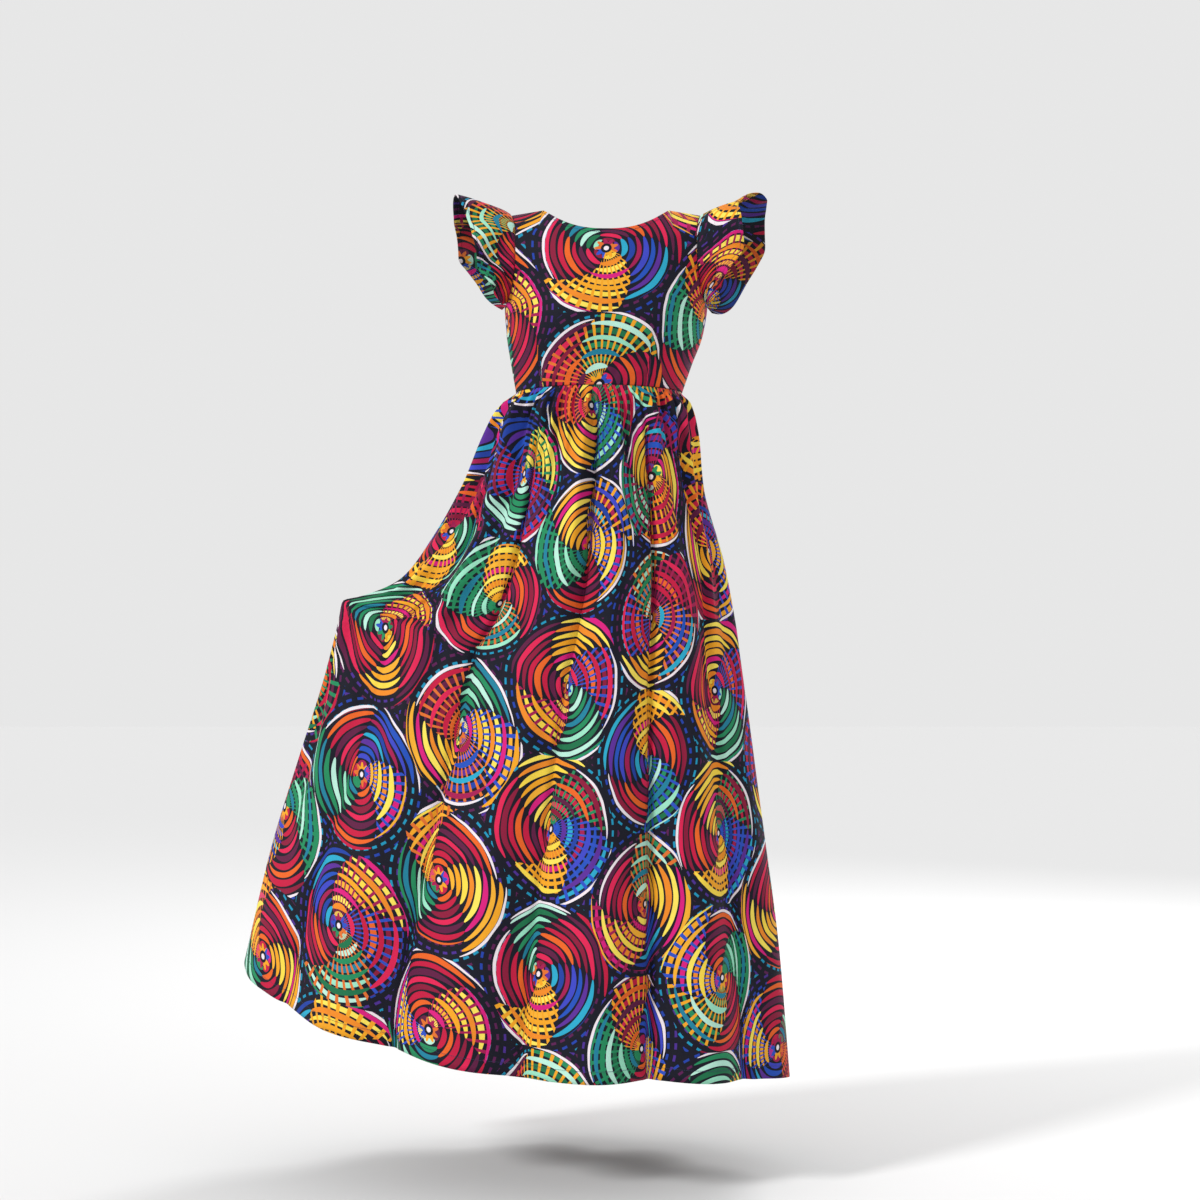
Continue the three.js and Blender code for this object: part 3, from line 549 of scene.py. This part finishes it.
def frill_points(along, reach, side):
    """A flutter sleeve with its flutes, and its flat cloth coordinates in millimetres."""
    table = LEFT_FRILL if side > 0 else RIGHT_FRILL
    root = armhole_roots(side, along[:, 0])[:, None, :]
    line = along[:, 0]
    free = [side * table.read("out", line), table.read("y", line), table.read("z", line)]
    free = rounded(np.stack(free, axis=-1), FREE_EDGE_REACH)
    arch = table.read("arch", line)[:, None]
    points = root + (free[:, None, :] - root) * reach[..., None]
    points[..., 2] += arch * 4 * reach * (1 - reach)
    height = np.zeros_like(along)
    for flute in FRILL_FLUTES.rows:
        shape = bell((along - flute["at"]) / flute["wide"])
        height += flute["rise"] * shape * reach ** flute["sharp"]
    random = np.random.default_rng(GATHER_SEED + side)
    for k in range(FRILL_GATHERS):
        centre = (k + 0.5 + random.uniform(-0.3, 0.3)) / FRILL_GATHERS
        shape = bell((along - centre) / (random.uniform(0.34, 0.5) / FRILL_GATHERS * (1 + reach)))
        fade = smooth(0, 0.04, reach) * (1 - smooth(0.1, random.uniform(0.3, 0.6), reach))
        height += random.uniform(*FRILL_GATHER_RISE) * shape * fade
    ends = smooth(0, 0.08, along) * smooth(0, 0.08, 1 - along)
    points = points + normals_of(points, -side) * (height * ends)[..., None]
    width, depth = arc_lengths(points, 0), arc_lengths(points, 1)
    fullness = 1 + (FRILL_GATHER - 1) * (1 - reach)
    pattern = np.stack([(width - width[-1] / 2) * fullness * side, depth], axis=-1)
    return points, pattern


# Finishing every panel


def creased(points, pattern, outside, creases):
    """Adds the creases of one panel to its points."""
    normals = normals_of(points, outside)
    height = np.zeros(points.shape[:2])
    for crease in creases.rows:
        dx, dy = crease["to_x"] - crease["from_x"], crease["to_y"] - crease["from_y"]
        length = math.hypot(dx, dy)
        px, py = pattern[..., 0] - crease["from_x"], pattern[..., 1] - crease["from_y"]
        share = (px * dx + py * dy) / length**2
        aside = (px * dy - py * dx) / length
        bow = 0.06 * length * np.sin(np.clip(share, 0, 1) * math.pi)
        along = smooth(-0.15, 0.35, share) * (1 - smooth(0.65, 1.15, share))
        height += crease["rise"] * along * bell((aside - bow) / crease["wide"])
    return points + normals * height[..., None]


def grid_places(columns, rows):
    return np.meshgrid(np.linspace(0, 1, columns + 1), np.linspace(0, 1, rows + 1), indexing="ij")


def object_from(bm, name):
    """An object in the scene from a bmesh, which is freed."""
    mesh = bpy.data.meshes.new(name)
    bm.to_mesh(mesh)
    bm.free()
    made = bpy.data.objects.new(name, mesh)
    bpy.context.scene.collection.objects.link(made)
    return made


def cloth_object(name, points, pattern, turned, outside):
    """A thin sheet through a grid of points in millimetres, with its flat cloth as the UV map.

    Its Turned attribute is the distance from a turned edge, as a share of the turning's width."""
    columns, rows = points.shape[0] - 1, points.shape[1] - 1
    bm = bmesh.new()
    bmesh.ops.create_grid(bm, x_segments=columns, y_segments=rows, size=0.5)
    layer = bm.loops.layers.uv.new("Pattern")
    for vert in bm.verts:
        i, j = round((vert.co.x + 0.5) * columns), round((vert.co.y + 0.5) * rows)
        vert.index = i * (rows + 1) + j
        vert.co = points[i, j] * MM
    flat = pattern.reshape(-1, 2) * MM
    for face in bm.faces:
        face.smooth = True
        for loop in face.loops:
            loop[layer].uv = flat[loop.vert.index]
    if outside < 0:
        bmesh.ops.reverse_faces(bm, faces=bm.faces)
    order = [vert.index for vert in bm.verts]
    piece = object_from(bm, name)
    share = piece.data.attributes.new("Turned", "FLOAT", "POINT")
    share.data.foreach_set("value", np.asarray(turned, float).reshape(-1)[order])
    return piece


def piece_cut(pattern):
    """Flat size of a panel: the rectangle round its pattern, and its area within it."""
    flat = pattern * MM
    spread = flat.reshape(-1, 2).max(axis=0) - flat.reshape(-1, 2).min(axis=0)
    first = flat[1:, 1:] - flat[:-1, :-1]
    second = flat[:-1, 1:] - flat[1:, :-1]
    area = np.abs(first[..., 0] * second[..., 1] - first[..., 1] * second[..., 0]).sum() / 2
    return float(spread[0]), float(spread[1]), min(float(area), float(spread[0] * spread[1]))


def dress_panel(name, node, points, pattern, turned, outside):
    """A finished panel: thickness, both faces of the print and its body; its node is hidden and its
    flat size is worked out but not kept.
    """
    sizes = bpy.context.scene.dress_sizes
    piece = cloth_object(name, points, pattern + np.array(PRINT_PLACES[name]), turned, outside)
    wall = piece.modifiers.new("cloth thickness", "SOLIDIFY")
    wall.thickness = sizes.cloth_thickness
    wall.offset = 0
    wall.material_offset = 1
    wall.use_quality_normals = True
    piece.data.materials.append(print_material("wax print right side", 1.0))
    piece.data.materials.append(print_material("wax print wrong side", WRONG_SIDE_DYE))
    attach(piece, BODY)
    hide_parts(node)
    width, length, area = piece_cut(pattern)
    return piece


def line_near_edge(points, outside, inset):
    """A line on the face of a panel, at a distance in from the edge that its rows end at."""
    run = arc_lengths(points, 1)
    face = points + normals_of(points, outside) * STITCH_PROUD
    return np.array([points_at(run[i, -1] - inset, run[i], face[i]) for i in range(len(run))])


def bars_along(name, line, pitch, length, radius, aside=None):
    """Short round bars in one mesh: along a line for stitches, or across it for teeth."""
    step = np.linalg.norm(np.diff(line, axis=0), axis=1)
    run = np.concatenate([[0], np.cumsum(step)])
    count = int(run[-1] / pitch)
    bm = bmesh.new()
    for k in range(count):
        middle = (k + 0.5) * run[-1] / count
        ends = [points_at(middle + e, run, line) for e in (-length / 2, length / 2)]
        place = (ends[0] + ends[1]) / 2
        heading = ends[1] - ends[0] if aside is None else np.array(aside)
        turn = Vector(heading).to_track_quat("Z", "Y").to_matrix().to_4x4()
        bmesh.ops.create_cone(bm, cap_ends=True, segments=6, radius1=radius * MM,
                              radius2=radius * MM, depth=length * MM,
                              matrix=Matrix.Translation(place * MM) @ turn)
    piece = object_from(bm, name)
    for polygon in piece.data.polygons:
        polygon.use_smooth = len(polygon.vertices) == 4
    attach(piece, BODY)
    return piece


def stitch_row(name, points, outside, turning, keep=slice(None)):
    """Stitches through a turned edge, over all of it or the columns to keep."""
    line = line_near_edge(points, outside, turning * STITCH_AT)[keep]
    piece = bars_along(name, line, STITCH_PITCH, STITCH_LENGTH, STITCH_RADIUS)
    piece.data.materials.append(thread_material())
    return piece


# Shader maths


class Value:
    """A number that varies over the surface. Arithmetic on it adds Math nodes."""

    def __init__(self, graph, socket):
        self.graph, self.socket = graph, socket

    def math(self, operation, *others, swap=False):
        inputs = [self, *others]
        if swap:
            inputs.reverse()
        return self.graph.value("Math", {"operation": operation}, *inputs)

    def __add__(self, other):
        return self.math("ADD", other)

    def __sub__(self, other):
        return self.math("SUBTRACT", other)

    def __rsub__(self, other):
        return self.math("SUBTRACT", other, swap=True)

    def __mul__(self, other):
        return self.math("MULTIPLY", other)

    def __truediv__(self, other):
        return self.math("DIVIDE", other)

    def __lt__(self, other):
        return self.math("LESS_THAN", other)

    def __gt__(self, other):
        return self.math("GREATER_THAN", other)

    __radd__, __rmul__ = __add__, __mul__

    def floor(self):
        return self.math("FLOOR")

    def fraction(self):
        return self.math("FRACT")

    def root(self):
        return self.math("SQRT")

    def absolute(self):
        return self.math("ABSOLUTE")

    def cosine(self):
        return self.math("COSINE")


class Graph:
    """The nodes of one material."""

    def __init__(self, name):
        self.material = bpy.data.materials.new(name)
        self.material.use_nodes = True
        self.tree = self.material.node_tree
        self.shader = self.tree.nodes["Principled BSDF"]

    def node(self, kind, settings=(), *inputs, **named):
        """Adds a shader node: its settings first, then its inputs by order or by name."""
        made = self.tree.nodes.new("ShaderNode" + kind)
        for key, value in dict(settings).items():
            setattr(made, key, value)
        for key, value in [*enumerate(inputs), *named.items()]:
            self.feed(made.inputs[key.replace("_", " ") if isinstance(key, str) else key], value)
        return made

    def feed(self, socket, value):
        if isinstance(value, Value):
            value = value.socket
        if isinstance(value, bpy.types.NodeSocket):
            self.tree.links.new(value, socket)
        else:
            socket.default_value = value

    def value(self, kind, settings=(), *inputs, output=0, **named):
        return Value(self, self.node(kind, settings, *inputs, **named).outputs[output])

    def ramp(self, factor, codes):
        """A colour picked from a list by a number from 0 to 1."""
        made = self.node("ValToRGB")
        made.color_ramp.interpolation = "CONSTANT"
        stops = made.color_ramp.elements
        for k, code in enumerate(codes):
            stop = stops[k] if k < 2 else stops.new(k / len(codes))
            stop.position = k / len(codes)
            stop.color = linear(code)
        self.feed(made.inputs[0], factor)
        return made.outputs[0]

    def blend(self, factor, first, second, blend_type="MIX"):
        made = self.node("Mix", {"data_type": "RGBA", "blend_type": blend_type})
        for index, value in ((0, factor), (6, first), (7, second)):
            self.feed(made.inputs[index], value)
        return made.outputs[2]

    def bump(self, height, distance, strength, normal=None):
        made = self.node("Bump", Strength=strength, Distance=distance, Height=height)
        if normal is not None:
            self.feed(made.inputs["Normal"], normal)
        return made.outputs[0]

    def finish(self, **uniform):
        for name, value in uniform.items():
            self.feed(self.shader.inputs[name.replace("_", " ")], value)
        return self.material


def linear(code):
    """A hex code's colour as linear values, opaque."""
    channels = [int(code[k : k + 2], 16) / 255 for k in (0, 2, 4)]
    return (*(c / 12.92 if c <= 0.04045 else ((c + 0.055) / 1.055) ** 2.4 for c in channels), 1)


def nearest_disc(x, y, wide, tall):
    """Place within the nearest disc of a half-drop layout, and the disc's own column and row."""
    found = []
    for shift in (0, 0.5):
        column, row = x / (2 * wide) + shift, y / tall + shift
        column_number = (column + 0.5).floor()
        row_number = (row + 0.5).floor()
        across, up = (column - column_number) * (2 * wide), (row - row_number) * tall
        distance = (across * across + up * up).root()
        found.append((across, up, distance, column_number + shift, row_number + shift))
    first, second = found
    use_first = first[2] < second[2]
    return [a * use_first + b * (1 - use_first) for a, b in zip(first, second)]


def print_material(name, strength):
    """The printed cotton: discs of broken rings round a flower, echoed across a near-black ground.

    The odd factors on luck, ring, sector and family only shuffle colours from one to the next."""
    if name in bpy.data.materials:
        return bpy.data.materials[name]
    look = bpy.context.scene.dress_print
    graph = Graph(name)
    uv = graph.node("UVMap", {"uv_map": "Pattern"}).outputs[0]
    sway = graph.value("TexNoise", Vector=uv, Scale=9.0, Detail=2.0)
    parts = graph.node("SeparateXYZ", {}, uv)
    x, y = Value(graph, parts.outputs[0]), Value(graph, parts.outputs[1])
    drawn = (sway - 0.5) * look.hand_sway
    x, y = x + drawn, y + drawn * 0.7
    across, up, distance, column, row = nearest_disc(
        x, y, look.disc_spacing, look.disc_spacing * ROW_STRETCH)
    angle = up.math("ARCTAN2", across) / (2 * math.pi) + 0.5
    cell = graph.node("CombineXYZ", {}, column, row)
    luck = graph.value("TexWhiteNoise", {"noise_dimensions": "2D"},
                       Vector=cell.outputs[0])
    luck_two = (luck * 7.31).fraction()

    turn = 2 * math.pi
    ring = (distance / look.ring_pitch).floor()
    aside = ((distance / look.ring_pitch).fraction() - 0.5).absolute()
    swirl = (angle + distance * look.swirl + luck) * look.sectors
    sector, sector_share = swirl.floor().math("MODULO", look.sectors), swirl.fraction()
    taper = (sector_share * math.pi).math("SINE").math("POWER", STROKE_TAPER)
    wander = ((ring * 0.37 + luck_two) * turn).cosine() * STROKE_WANDER
    stroke = aside < taper * (wander + STROKE_WIDTH)
    family = (sector * 0.381 + luck * 5.3).fraction()
    woven = (family * 6.7).fraction() > 0.5
    spoke = ((angle * look.spokes + luck_two).fraction() - 0.5).absolute()

    step = (ring * 0.1667 + luck_two).fraction()
    bands = graph.ramp(step, CRIMSON_STROKES)
    for start, family_colours in LATER_FAMILIES:
        bands = graph.blend(family > start, bands, graph.ramp(step, family_colours))
    bars = graph.ramp((sector * 0.29 + luck).fraction(), BAR_COLOURS)

    reach = (sector * 0.618 + luck * 3.1).fraction()
    rim = (reach - 0.5) * RIM_UNEVEN + look.disc_radius
    inside = distance < rim
    ground, white = (*look.ground, 1), linear(WHITE_STROKE)
    echo = (1 - inside) * (distance < rim + look.ring_pitch * ECHO_REACH)
    echo = echo * (aside < ECHO_WIDTH) * (spoke > ECHO_GAP)
    colour = graph.blend(echo, ground, graph.ramp((ring * 0.31 + luck).fraction(), ECHO_STROKES))
    crossing = inside * woven * (spoke < BAR_WIDTH)
    colour = graph.blend(crossing, colour, bars)
    over_bars = 1 - crossing * (ring * 0.5).fraction() * 2
    colour = graph.blend(inside * stroke * over_bars, colour, bands)
    shine = (family * 3.3 + luck_two).fraction() > 0.55
    white_stroke = (distance - rim - RIM_GAP).absolute() < taper * RIM_WIDTH
    colour = graph.blend(white_stroke * shine, colour, white)
    petal = (angle * turn * PETALS).cosine() * PETAL_DEPTH + look.ring_pitch * FLOWER
    colour = graph.blend(distance < petal, colour, bars)
    colour = graph.blend(distance < look.ring_pitch * EYE_RING, colour, ground)
    colour = graph.blend(distance < look.ring_pitch * EYE_DOT, colour, white)

    dye = graph.value("TexNoise", Vector=uv, Scale=60.0, Detail=4.0)
    shade = (dye - 0.5) * 0.16 + look.depth_of_dye * strength
    shade_colour = graph.node("CombineColor", {}, shade, shade, shade).outputs[0]
    colour = graph.blend(1.0, colour, shade_colour, "MULTIPLY")

    warp = (x * (turn / look.thread)).math("SINE")
    weft = (y * (turn / look.thread)).math("SINE")
    rumple = graph.value("TexNoise", Vector=uv, Scale=38.0, Detail=3.0)
    normal = graph.bump(rumple, 0.0011, 0.35)
    turned = graph.value("Attribute", {"attribute_name": "Turned"}, output="Fac")
    doubled = ((1 - turned) * 9 + 0.5).math("MINIMUM", 1).math("MAXIMUM", 0)
    stitch_line = ((turned - STITCH_AT).absolute() < 0.05) * -0.7
    normal = graph.bump(doubled + stitch_line, 0.0005, 0.8, normal)
    normal = graph.bump(warp * weft, 0.00006, 0.5, normal)
    return graph.finish(Base_Color=colour, Roughness=dye * 0.14 + 0.7, Normal=normal,
                        Specular_IOR_Level=0.22, Sheen_Weight=0.03, Sheen_Roughness=0.4)


def flecked(name, scale, **detail):
    """A material's graph, its object coordinates and a fine noise on them."""
    graph = Graph(name)
    place = graph.node("TexCoord").outputs["Object"]
    return graph, place, graph.value("TexNoise", Vector=place, Scale=scale, **detail)


def thread_material():
    """Sewing thread in dark navy, with a twist."""
    if "sewing thread" in bpy.data.materials:
        return bpy.data.materials["sewing thread"]
    graph, _, twist = flecked("sewing thread", 1400.0)
    colour = graph.blend(twist, linear("1A1D3C"), linear("3A3F6E"))
    return graph.finish(Base_Color=colour, Roughness=twist * 0.2 + 0.55)


def tape_material():
    """Woven zip tape, dark navy with fine ribs along its length."""
    graph, place, fleck = flecked("zip tape weave", 900.0)
    ribs = graph.value("TexWave", {"bands_direction": "X"}, Vector=place, Scale=260.0,
                       Distortion=0.6, output=1)
    colour = graph.blend(fleck, linear("10132A"), linear("23284A"))
    normal = graph.bump(ribs, 0.0002, 0.5)
    return graph.finish(Base_Color=colour, Roughness=fleck * 0.2 + 0.7, Normal=normal)


def enamel_material():
    """Dark enamel over metal, a little worn."""
    graph, _, wear = flecked("zip enamel", 420.0, Detail=3.0)
    chipped = wear > 0.66
    colour = graph.blend(chipped, linear("171A33"), linear("6C6F7E"))
    metal = chipped * 0.5 + 0.4
    return graph.finish(Base_Color=colour, Roughness=wear * 0.2 + 0.24, Metallic=metal)


def length(name, description, default, smallest):
    return FloatProperty(name=name, description=description, default=default, min=smallest,
                         unit="LENGTH")


def count(name, description, default, smallest):
    return IntProperty(name=name, description=description, default=default, min=smallest)


class DressPrint(bpy.types.PropertyGroup):
    """The printed pattern's sizes and ground colour."""

    disc_spacing: length("Disc spacing", "Between columns of discs", 0.2, 0.05)
    disc_radius: length("Disc radius", "Middle to outer ring", 0.109, 0.02)
    ring_pitch: length("Ring pitch", "One ring and its gap", 0.0112, 0.002)
    hand_sway: length("Hand-drawn sway", "How far lines wander", 0.014, 0)
    swirl: FloatProperty(name="Swirl", description="Turns that a fan leans by in a metre outwards",
                         default=1.6, min=0)
    thread: length("Thread pitch", "Two threads of the weave", 0.0007, 0.0001)
    depth_of_dye: FloatProperty(name="Brightness of dye", description="1 is the colours as listed",
                                default=0.8, min=0.1, max=1.2)
    sectors: count("Sectors", "Colour changes round a disc", 5, 1)
    spokes: count("Spokes", "Bars across the strokes of a whole disc", 40, 1)
    ground: FloatVectorProperty(name="Ground", description="Colour of the cloth between motifs",
                                default=(0.0032, 0.0036, 0.013), subtype="COLOR", min=0, max=1)


class DressSizes(bpy.types.PropertyGroup):
    """Sizes of the cloth and how finely it is modelled."""

    cloth_thickness: length("Cloth thickness", "Printed cotton with its sizing", 0.0007, 0.0002)
    bodice_columns: count("Bodice columns", "Across the front", 150, 20)
    bodice_rows: count("Bodice rows", "Waist to shoulder", 120, 20)
    skirt_columns: count("Skirt columns", "Across the front", 340, 40)
    skirt_rows: count("Skirt rows", "Waist to hem", 138, 40)
    frill_columns: count("Frill columns", "Along the armhole", 190, 20)
    frill_rows: count("Frill rows", "Armhole to edge", 28, 8)


def neck_turning(points, across):
    """How far each point of a bodice panel is from the neckline, as a share of its turning."""
    climbed = arc_lengths(points, 1)
    under_neck = np.abs(across) * SHOULDER_TIP < NECK_HALF
    return np.where(under_neck, (climbed[:, -1:] - climbed) / NECK_TURNING, 10)


def neck_columns(across):
    """The columns of a bodice panel that end in the neckline."""
    return np.abs(across[:, 0]) * SHOULDER_TIP < NECK_HALF - NECK_STITCH_END


def skirt_grid(sizes, facing):
    """One side of the skirt: its points, its flat cloth and how far each point is from the hem."""
    across, at = grid_places(sizes.skirt_columns, sizes.skirt_rows)
    at = at**WAIST_CROWDING
    points, pattern = skirt_points(across, at, facing)
    return points, pattern, (1 - at) * SKIRT_LENGTH / HEM_TURNING


def shift(points, x=0.0, y=0.0, z=0.0):
    return points + np.array([x, y, z])


def dart_climb(dart, points):
    """0 at the foot of a dart's seam and 1 at its tip."""
    return (points[..., 2] - dart["foot_z"]) / (dart["top_z"] - dart["foot_z"])


def beside_dart(dart, points, climb):
    """Distance sideways from a dart's seam."""
    return points[..., 0] - (dart["foot_x"] + (dart["top_x"] - dart["foot_x"]) * climb)


def darted(pattern, points):
    """Takes the wedge of each waist dart out of the print beside its seam."""
    for dart in FRONT_DARTS.rows:
        climb = np.clip(dart_climb(dart, points), 0, 1)
        take = dart["take"] * (1 - smooth(0.0, 1.0, climb))
        pattern[..., 0] += 0.5 * take * np.tanh(beside_dart(dart, points, climb) / 0.9)
    return pattern


class DRESS_OT_bodice_front(bpy.types.Operator):
    """Front bodice, with a dart under each bust"""

    bl_idname = "dress.bodice_front"
    bl_label = "Front bodice"

    def execute(self, context):
        sizes = context.scene.dress_sizes
        across, at = grid_places(sizes.bodice_columns, sizes.bodice_rows)
        across = across * 2 - 1
        points = bodice_points(across, at, -1)
        pattern = darted(bodice_pattern(points, across), points)
        for dart in FRONT_DARTS.rows:
            climb = dart_climb(dart, points)
            beside = beside_dart(dart, points, climb)
            groove = bell(beside / 1.8) * (1 - smooth(0.85, 1.05, climb))
            pucker = bell(beside / 9) * bell((climb - 1) / 0.25)
            points = points - normals_of(points, 1) * (1.1 * groove - 1.2 * pucker)[..., None]
        points = creased(points, pattern, 1, BODICE_CREASES)
        turned = neck_turning(points, across)
        points = shift(points, y=-SEAM_HALF_GAP)
        stitch_row("neck_stitches_front", points, 1, NECK_TURNING, neck_columns(across))
        dress_panel("front_bodice", "bodice_front", points, pattern, turned, 1)
        return {"FINISHED"}


class DRESS_OT_bodice_back(bpy.types.Operator):
    """Both halves of the back bodice"""

    bl_idname = "dress.bodice_back"
    bl_label = "Back bodice"

    def execute(self, context):
        sizes = context.scene.dress_sizes
        for side, word in ((1, "left"), (-1, "right")):
            across, at = grid_places(sizes.bodice_columns // 2, sizes.bodice_rows)
            across = across * side
            points = bodice_points(across, at, 1)
            pattern = bodice_pattern(points, across)
            pattern[..., 0] *= -side
            mirror = np.array([-side, 1])
            points = creased(points, pattern * mirror, -side, BACK_BODICE_CREASES)
            turned = neck_turning(points, across)
            points = shift(points, x=side * SEAM_HALF_GAP, y=SEAM_HALF_GAP)
            stitch_row(f"neck_stitches_{word}", points, -side, NECK_TURNING, neck_columns(across))
            dress_panel(f"back_bodice_{word}", f"bodice_back_{word}", points, pattern, turned,
                        -side)
        return {"FINISHED"}


class DRESS_OT_skirt_front(bpy.types.Operator):
    """Front skirt panel, gathered into the waist seam"""

    bl_idname = "dress.skirt_front"
    bl_label = "Front skirt"

    def execute(self, context):
        points, pattern, turned = skirt_grid(context.scene.dress_sizes, -1)
        points = shift(points, y=-SEAM_HALF_GAP, z=-WAIST_GAP)
        stitch_row("hem_stitches_front", points, 1, HEM_TURNING)
        dress_panel("front_skirt", "skirt_front", points, pattern, turned, 1)
        return {"FINISHED"}


class DRESS_OT_skirt_back(bpy.types.Operator):
    """Both halves of the back skirt"""

    bl_idname = "dress.skirt_back"
    bl_label = "Back skirt"

    def execute(self, context):
        points, pattern, turned = skirt_grid(context.scene.dress_sizes, 1)
        middle = context.scene.dress_sizes.skirt_columns // 2
        halves = ((1, "left", slice(0, middle + 1)), (-1, "right", slice(middle, None)))
        for side, word, part in halves:
            half = shift(points[part], x=side * SEAM_HALF_GAP, y=SEAM_HALF_GAP, z=-WAIST_GAP)
            stitch_row(f"hem_stitches_{word}", half, -1, HEM_TURNING)
            dress_panel(f"back_skirt_{word}", f"skirt_back_{word}", half, pattern[part],
                        turned[part], -1)
        return {"FINISHED"}


class DRESS_OT_frills(bpy.types.Operator):
    """Flutter sleeve round each armhole"""

    bl_idname = "dress.frills"
    bl_label = "Flutter sleeves"

    def execute(self, context):
        sizes = context.scene.dress_sizes
        for side, word in ((1, "left"), (-1, "right")):
            along, reach = grid_places(sizes.frill_columns, sizes.frill_rows)
            points, pattern = frill_points(along, reach, side)
            turned = (pattern[:, -1:, 1] - pattern[..., 1]) / FRILL_TURNING
            stitch_row(f"frill_stitches_{word}", points, -side, FRILL_TURNING)
            dress_panel(f"frill_{word}", f"sleeve_frill_{word}", points, pattern, turned, -side)
        return {"FINISHED"}


class DRESS_OT_zip(bpy.types.Operator):
    """Coiled teeth behind the centre back, and the finishes of the tapes, slider and pull tab"""

    bl_idname = "dress.zip"
    bl_label = "Zip"

    def execute(self, context):
        tape, enamel = tape_material(), enamel_material()
        for node, material in (("zip_tape_left", tape), ("zip_tape_right", tape),
                               ("zip_slider", enamel), ("zip_pull_tab", enamel)):
            target = frame["nodes"][node]
            target.data.materials.clear()
            target.data.materials.append(material)
        beside, at = np.meshgrid(BESIDE_ZIP, np.linspace(0, 1, 200), indexing="ij")
        bodice = bodice_points(beside, at, 1)
        bodice = bodice - normals_of(bodice, -1) * TEETH_DEPTH
        at = np.linspace(ZIP_INSET, ZIP_END_AT - ZIP_INSET, 90)
        beside, at = np.meshgrid(BESIDE_ZIP, at, indexing="ij")
        skirt, _ = skirt_points(0.5 - beside * SKIRT_BESIDE_ZIP, at, 1)
        skirt = skirt - normals_of(skirt, -1) * TEETH_DEPTH
        climb = np.concatenate([skirt[0][::-1], bodice[0]])
        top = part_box("zip_slider")[0][2] / MM - TEETH_CLEARANCE
        climb = climb[climb[:, 2] < top]
        teeth = bars_along("zip_teeth", climb, TOOTH_PITCH, TOOTH_WIDTH, TOOTH_RADIUS,
                           aside=(1, 0, 0))
        teeth.data.materials.append(tape)
        return {"FINISHED"}


class DRESS_OT_stage(bpy.types.Operator):
    """Pale floor, soft studio light and the camera"""

    bl_idname = "dress.stage"
    bl_label = "Stage"

    def execute(self, context):
        scene = context.scene
        bm = bmesh.new()
        bmesh.ops.create_grid(bm, x_segments=1, y_segments=1, size=FLOOR_SIZE)
        bmesh.ops.translate(bm, verts=bm.verts, vec=(0, 0, FLOOR_Z))
        floor = object_from(bm, "floor")
        graph = Graph("pale floor")
        floor.data.materials.append(graph.finish(Base_Color=(*PALE_FLOOR, 1), Roughness=0.9))
        world = bpy.data.worlds.new("studio")
        world.use_nodes = True
        background = world.node_tree.nodes["Background"]
        background.inputs["Color"].default_value = (1, 1, 1, 1)
        background.inputs["Strength"].default_value = STUDIO_WHITE
        scene.world = world
        scene.view_settings.view_transform = "Standard"
        for name, kind, place, size, power in STUDIO_LIGHTS:
            lamp = bpy.data.lights.new(name, kind)
            lamp.energy = power
            if kind == "SUN":
                lamp.angle = size
            else:
                lamp.shape, lamp.size = "DISK", size
            light = bpy.data.objects.new(name, lamp)
            light.location = place
            heading = Vector(LIGHT_TARGET) - Vector(place)
            light.rotation_euler = heading.to_track_quat("-Z", "Y").to_euler()
            scene.collection.objects.link(light)
        camera = bpy.data.objects.new("camera", bpy.data.cameras.new("camera"))
        camera.data.lens = camera.data.sensor_width * CAMERA_DISTANCE / CAMERA_SPAN
        camera.location = (CAMERA_X, -CAMERA_DISTANCE, CAMERA_Z)
        camera.rotation_euler = (math.pi / 2, 0, 0)
        scene.collection.objects.link(camera)
        scene.camera = camera
        return {"FINISHED"}


PIECE_OPERATORS = (DRESS_OT_bodice_front, DRESS_OT_bodice_back, DRESS_OT_skirt_front,
                   DRESS_OT_skirt_back, DRESS_OT_frills, DRESS_OT_zip, DRESS_OT_stage)


class DRESS_PT_panel(bpy.types.Panel):
    """Builds the dress piece by piece"""

    bl_idname = "DRESS_PT_panel"
    bl_label = "Wax Print Dress"
    bl_space_type = "VIEW_3D"
    bl_region_type = "UI"
    bl_category = "Dress"

    def draw(self, context):
        for operator in PIECE_OPERATORS:
            self.layout.operator(operator.bl_idname)
        for settings in (context.scene.dress_sizes, context.scene.dress_print):
            box = self.layout.box()
            for name in settings.bl_rna.properties.keys():
                if name not in ("rna_type", "name"):
                    box.prop(settings, name)


CLASSES = (DressPrint, DressSizes, *PIECE_OPERATORS, DRESS_PT_panel)


def register():
    for item in CLASSES:
        bpy.utils.register_class(item)
    bpy.types.Scene.dress_print = PointerProperty(type=DressPrint)
    bpy.types.Scene.dress_sizes = PointerProperty(type=DressSizes)


def unregister():
    del bpy.types.Scene.dress_print
    del bpy.types.Scene.dress_sizes
    for item in reversed(CLASSES):
        bpy.utils.unregister_class(item)


def main():
    register()
    bpy.ops.dress.bodice_front()
    bpy.ops.dress.bodice_back()
    bpy.ops.dress.skirt_front()
    bpy.ops.dress.skirt_back()
    bpy.ops.dress.frills()
    bpy.ops.dress.zip()
    bpy.ops.dress.stage()


if __name__ == "__main__":
    main()
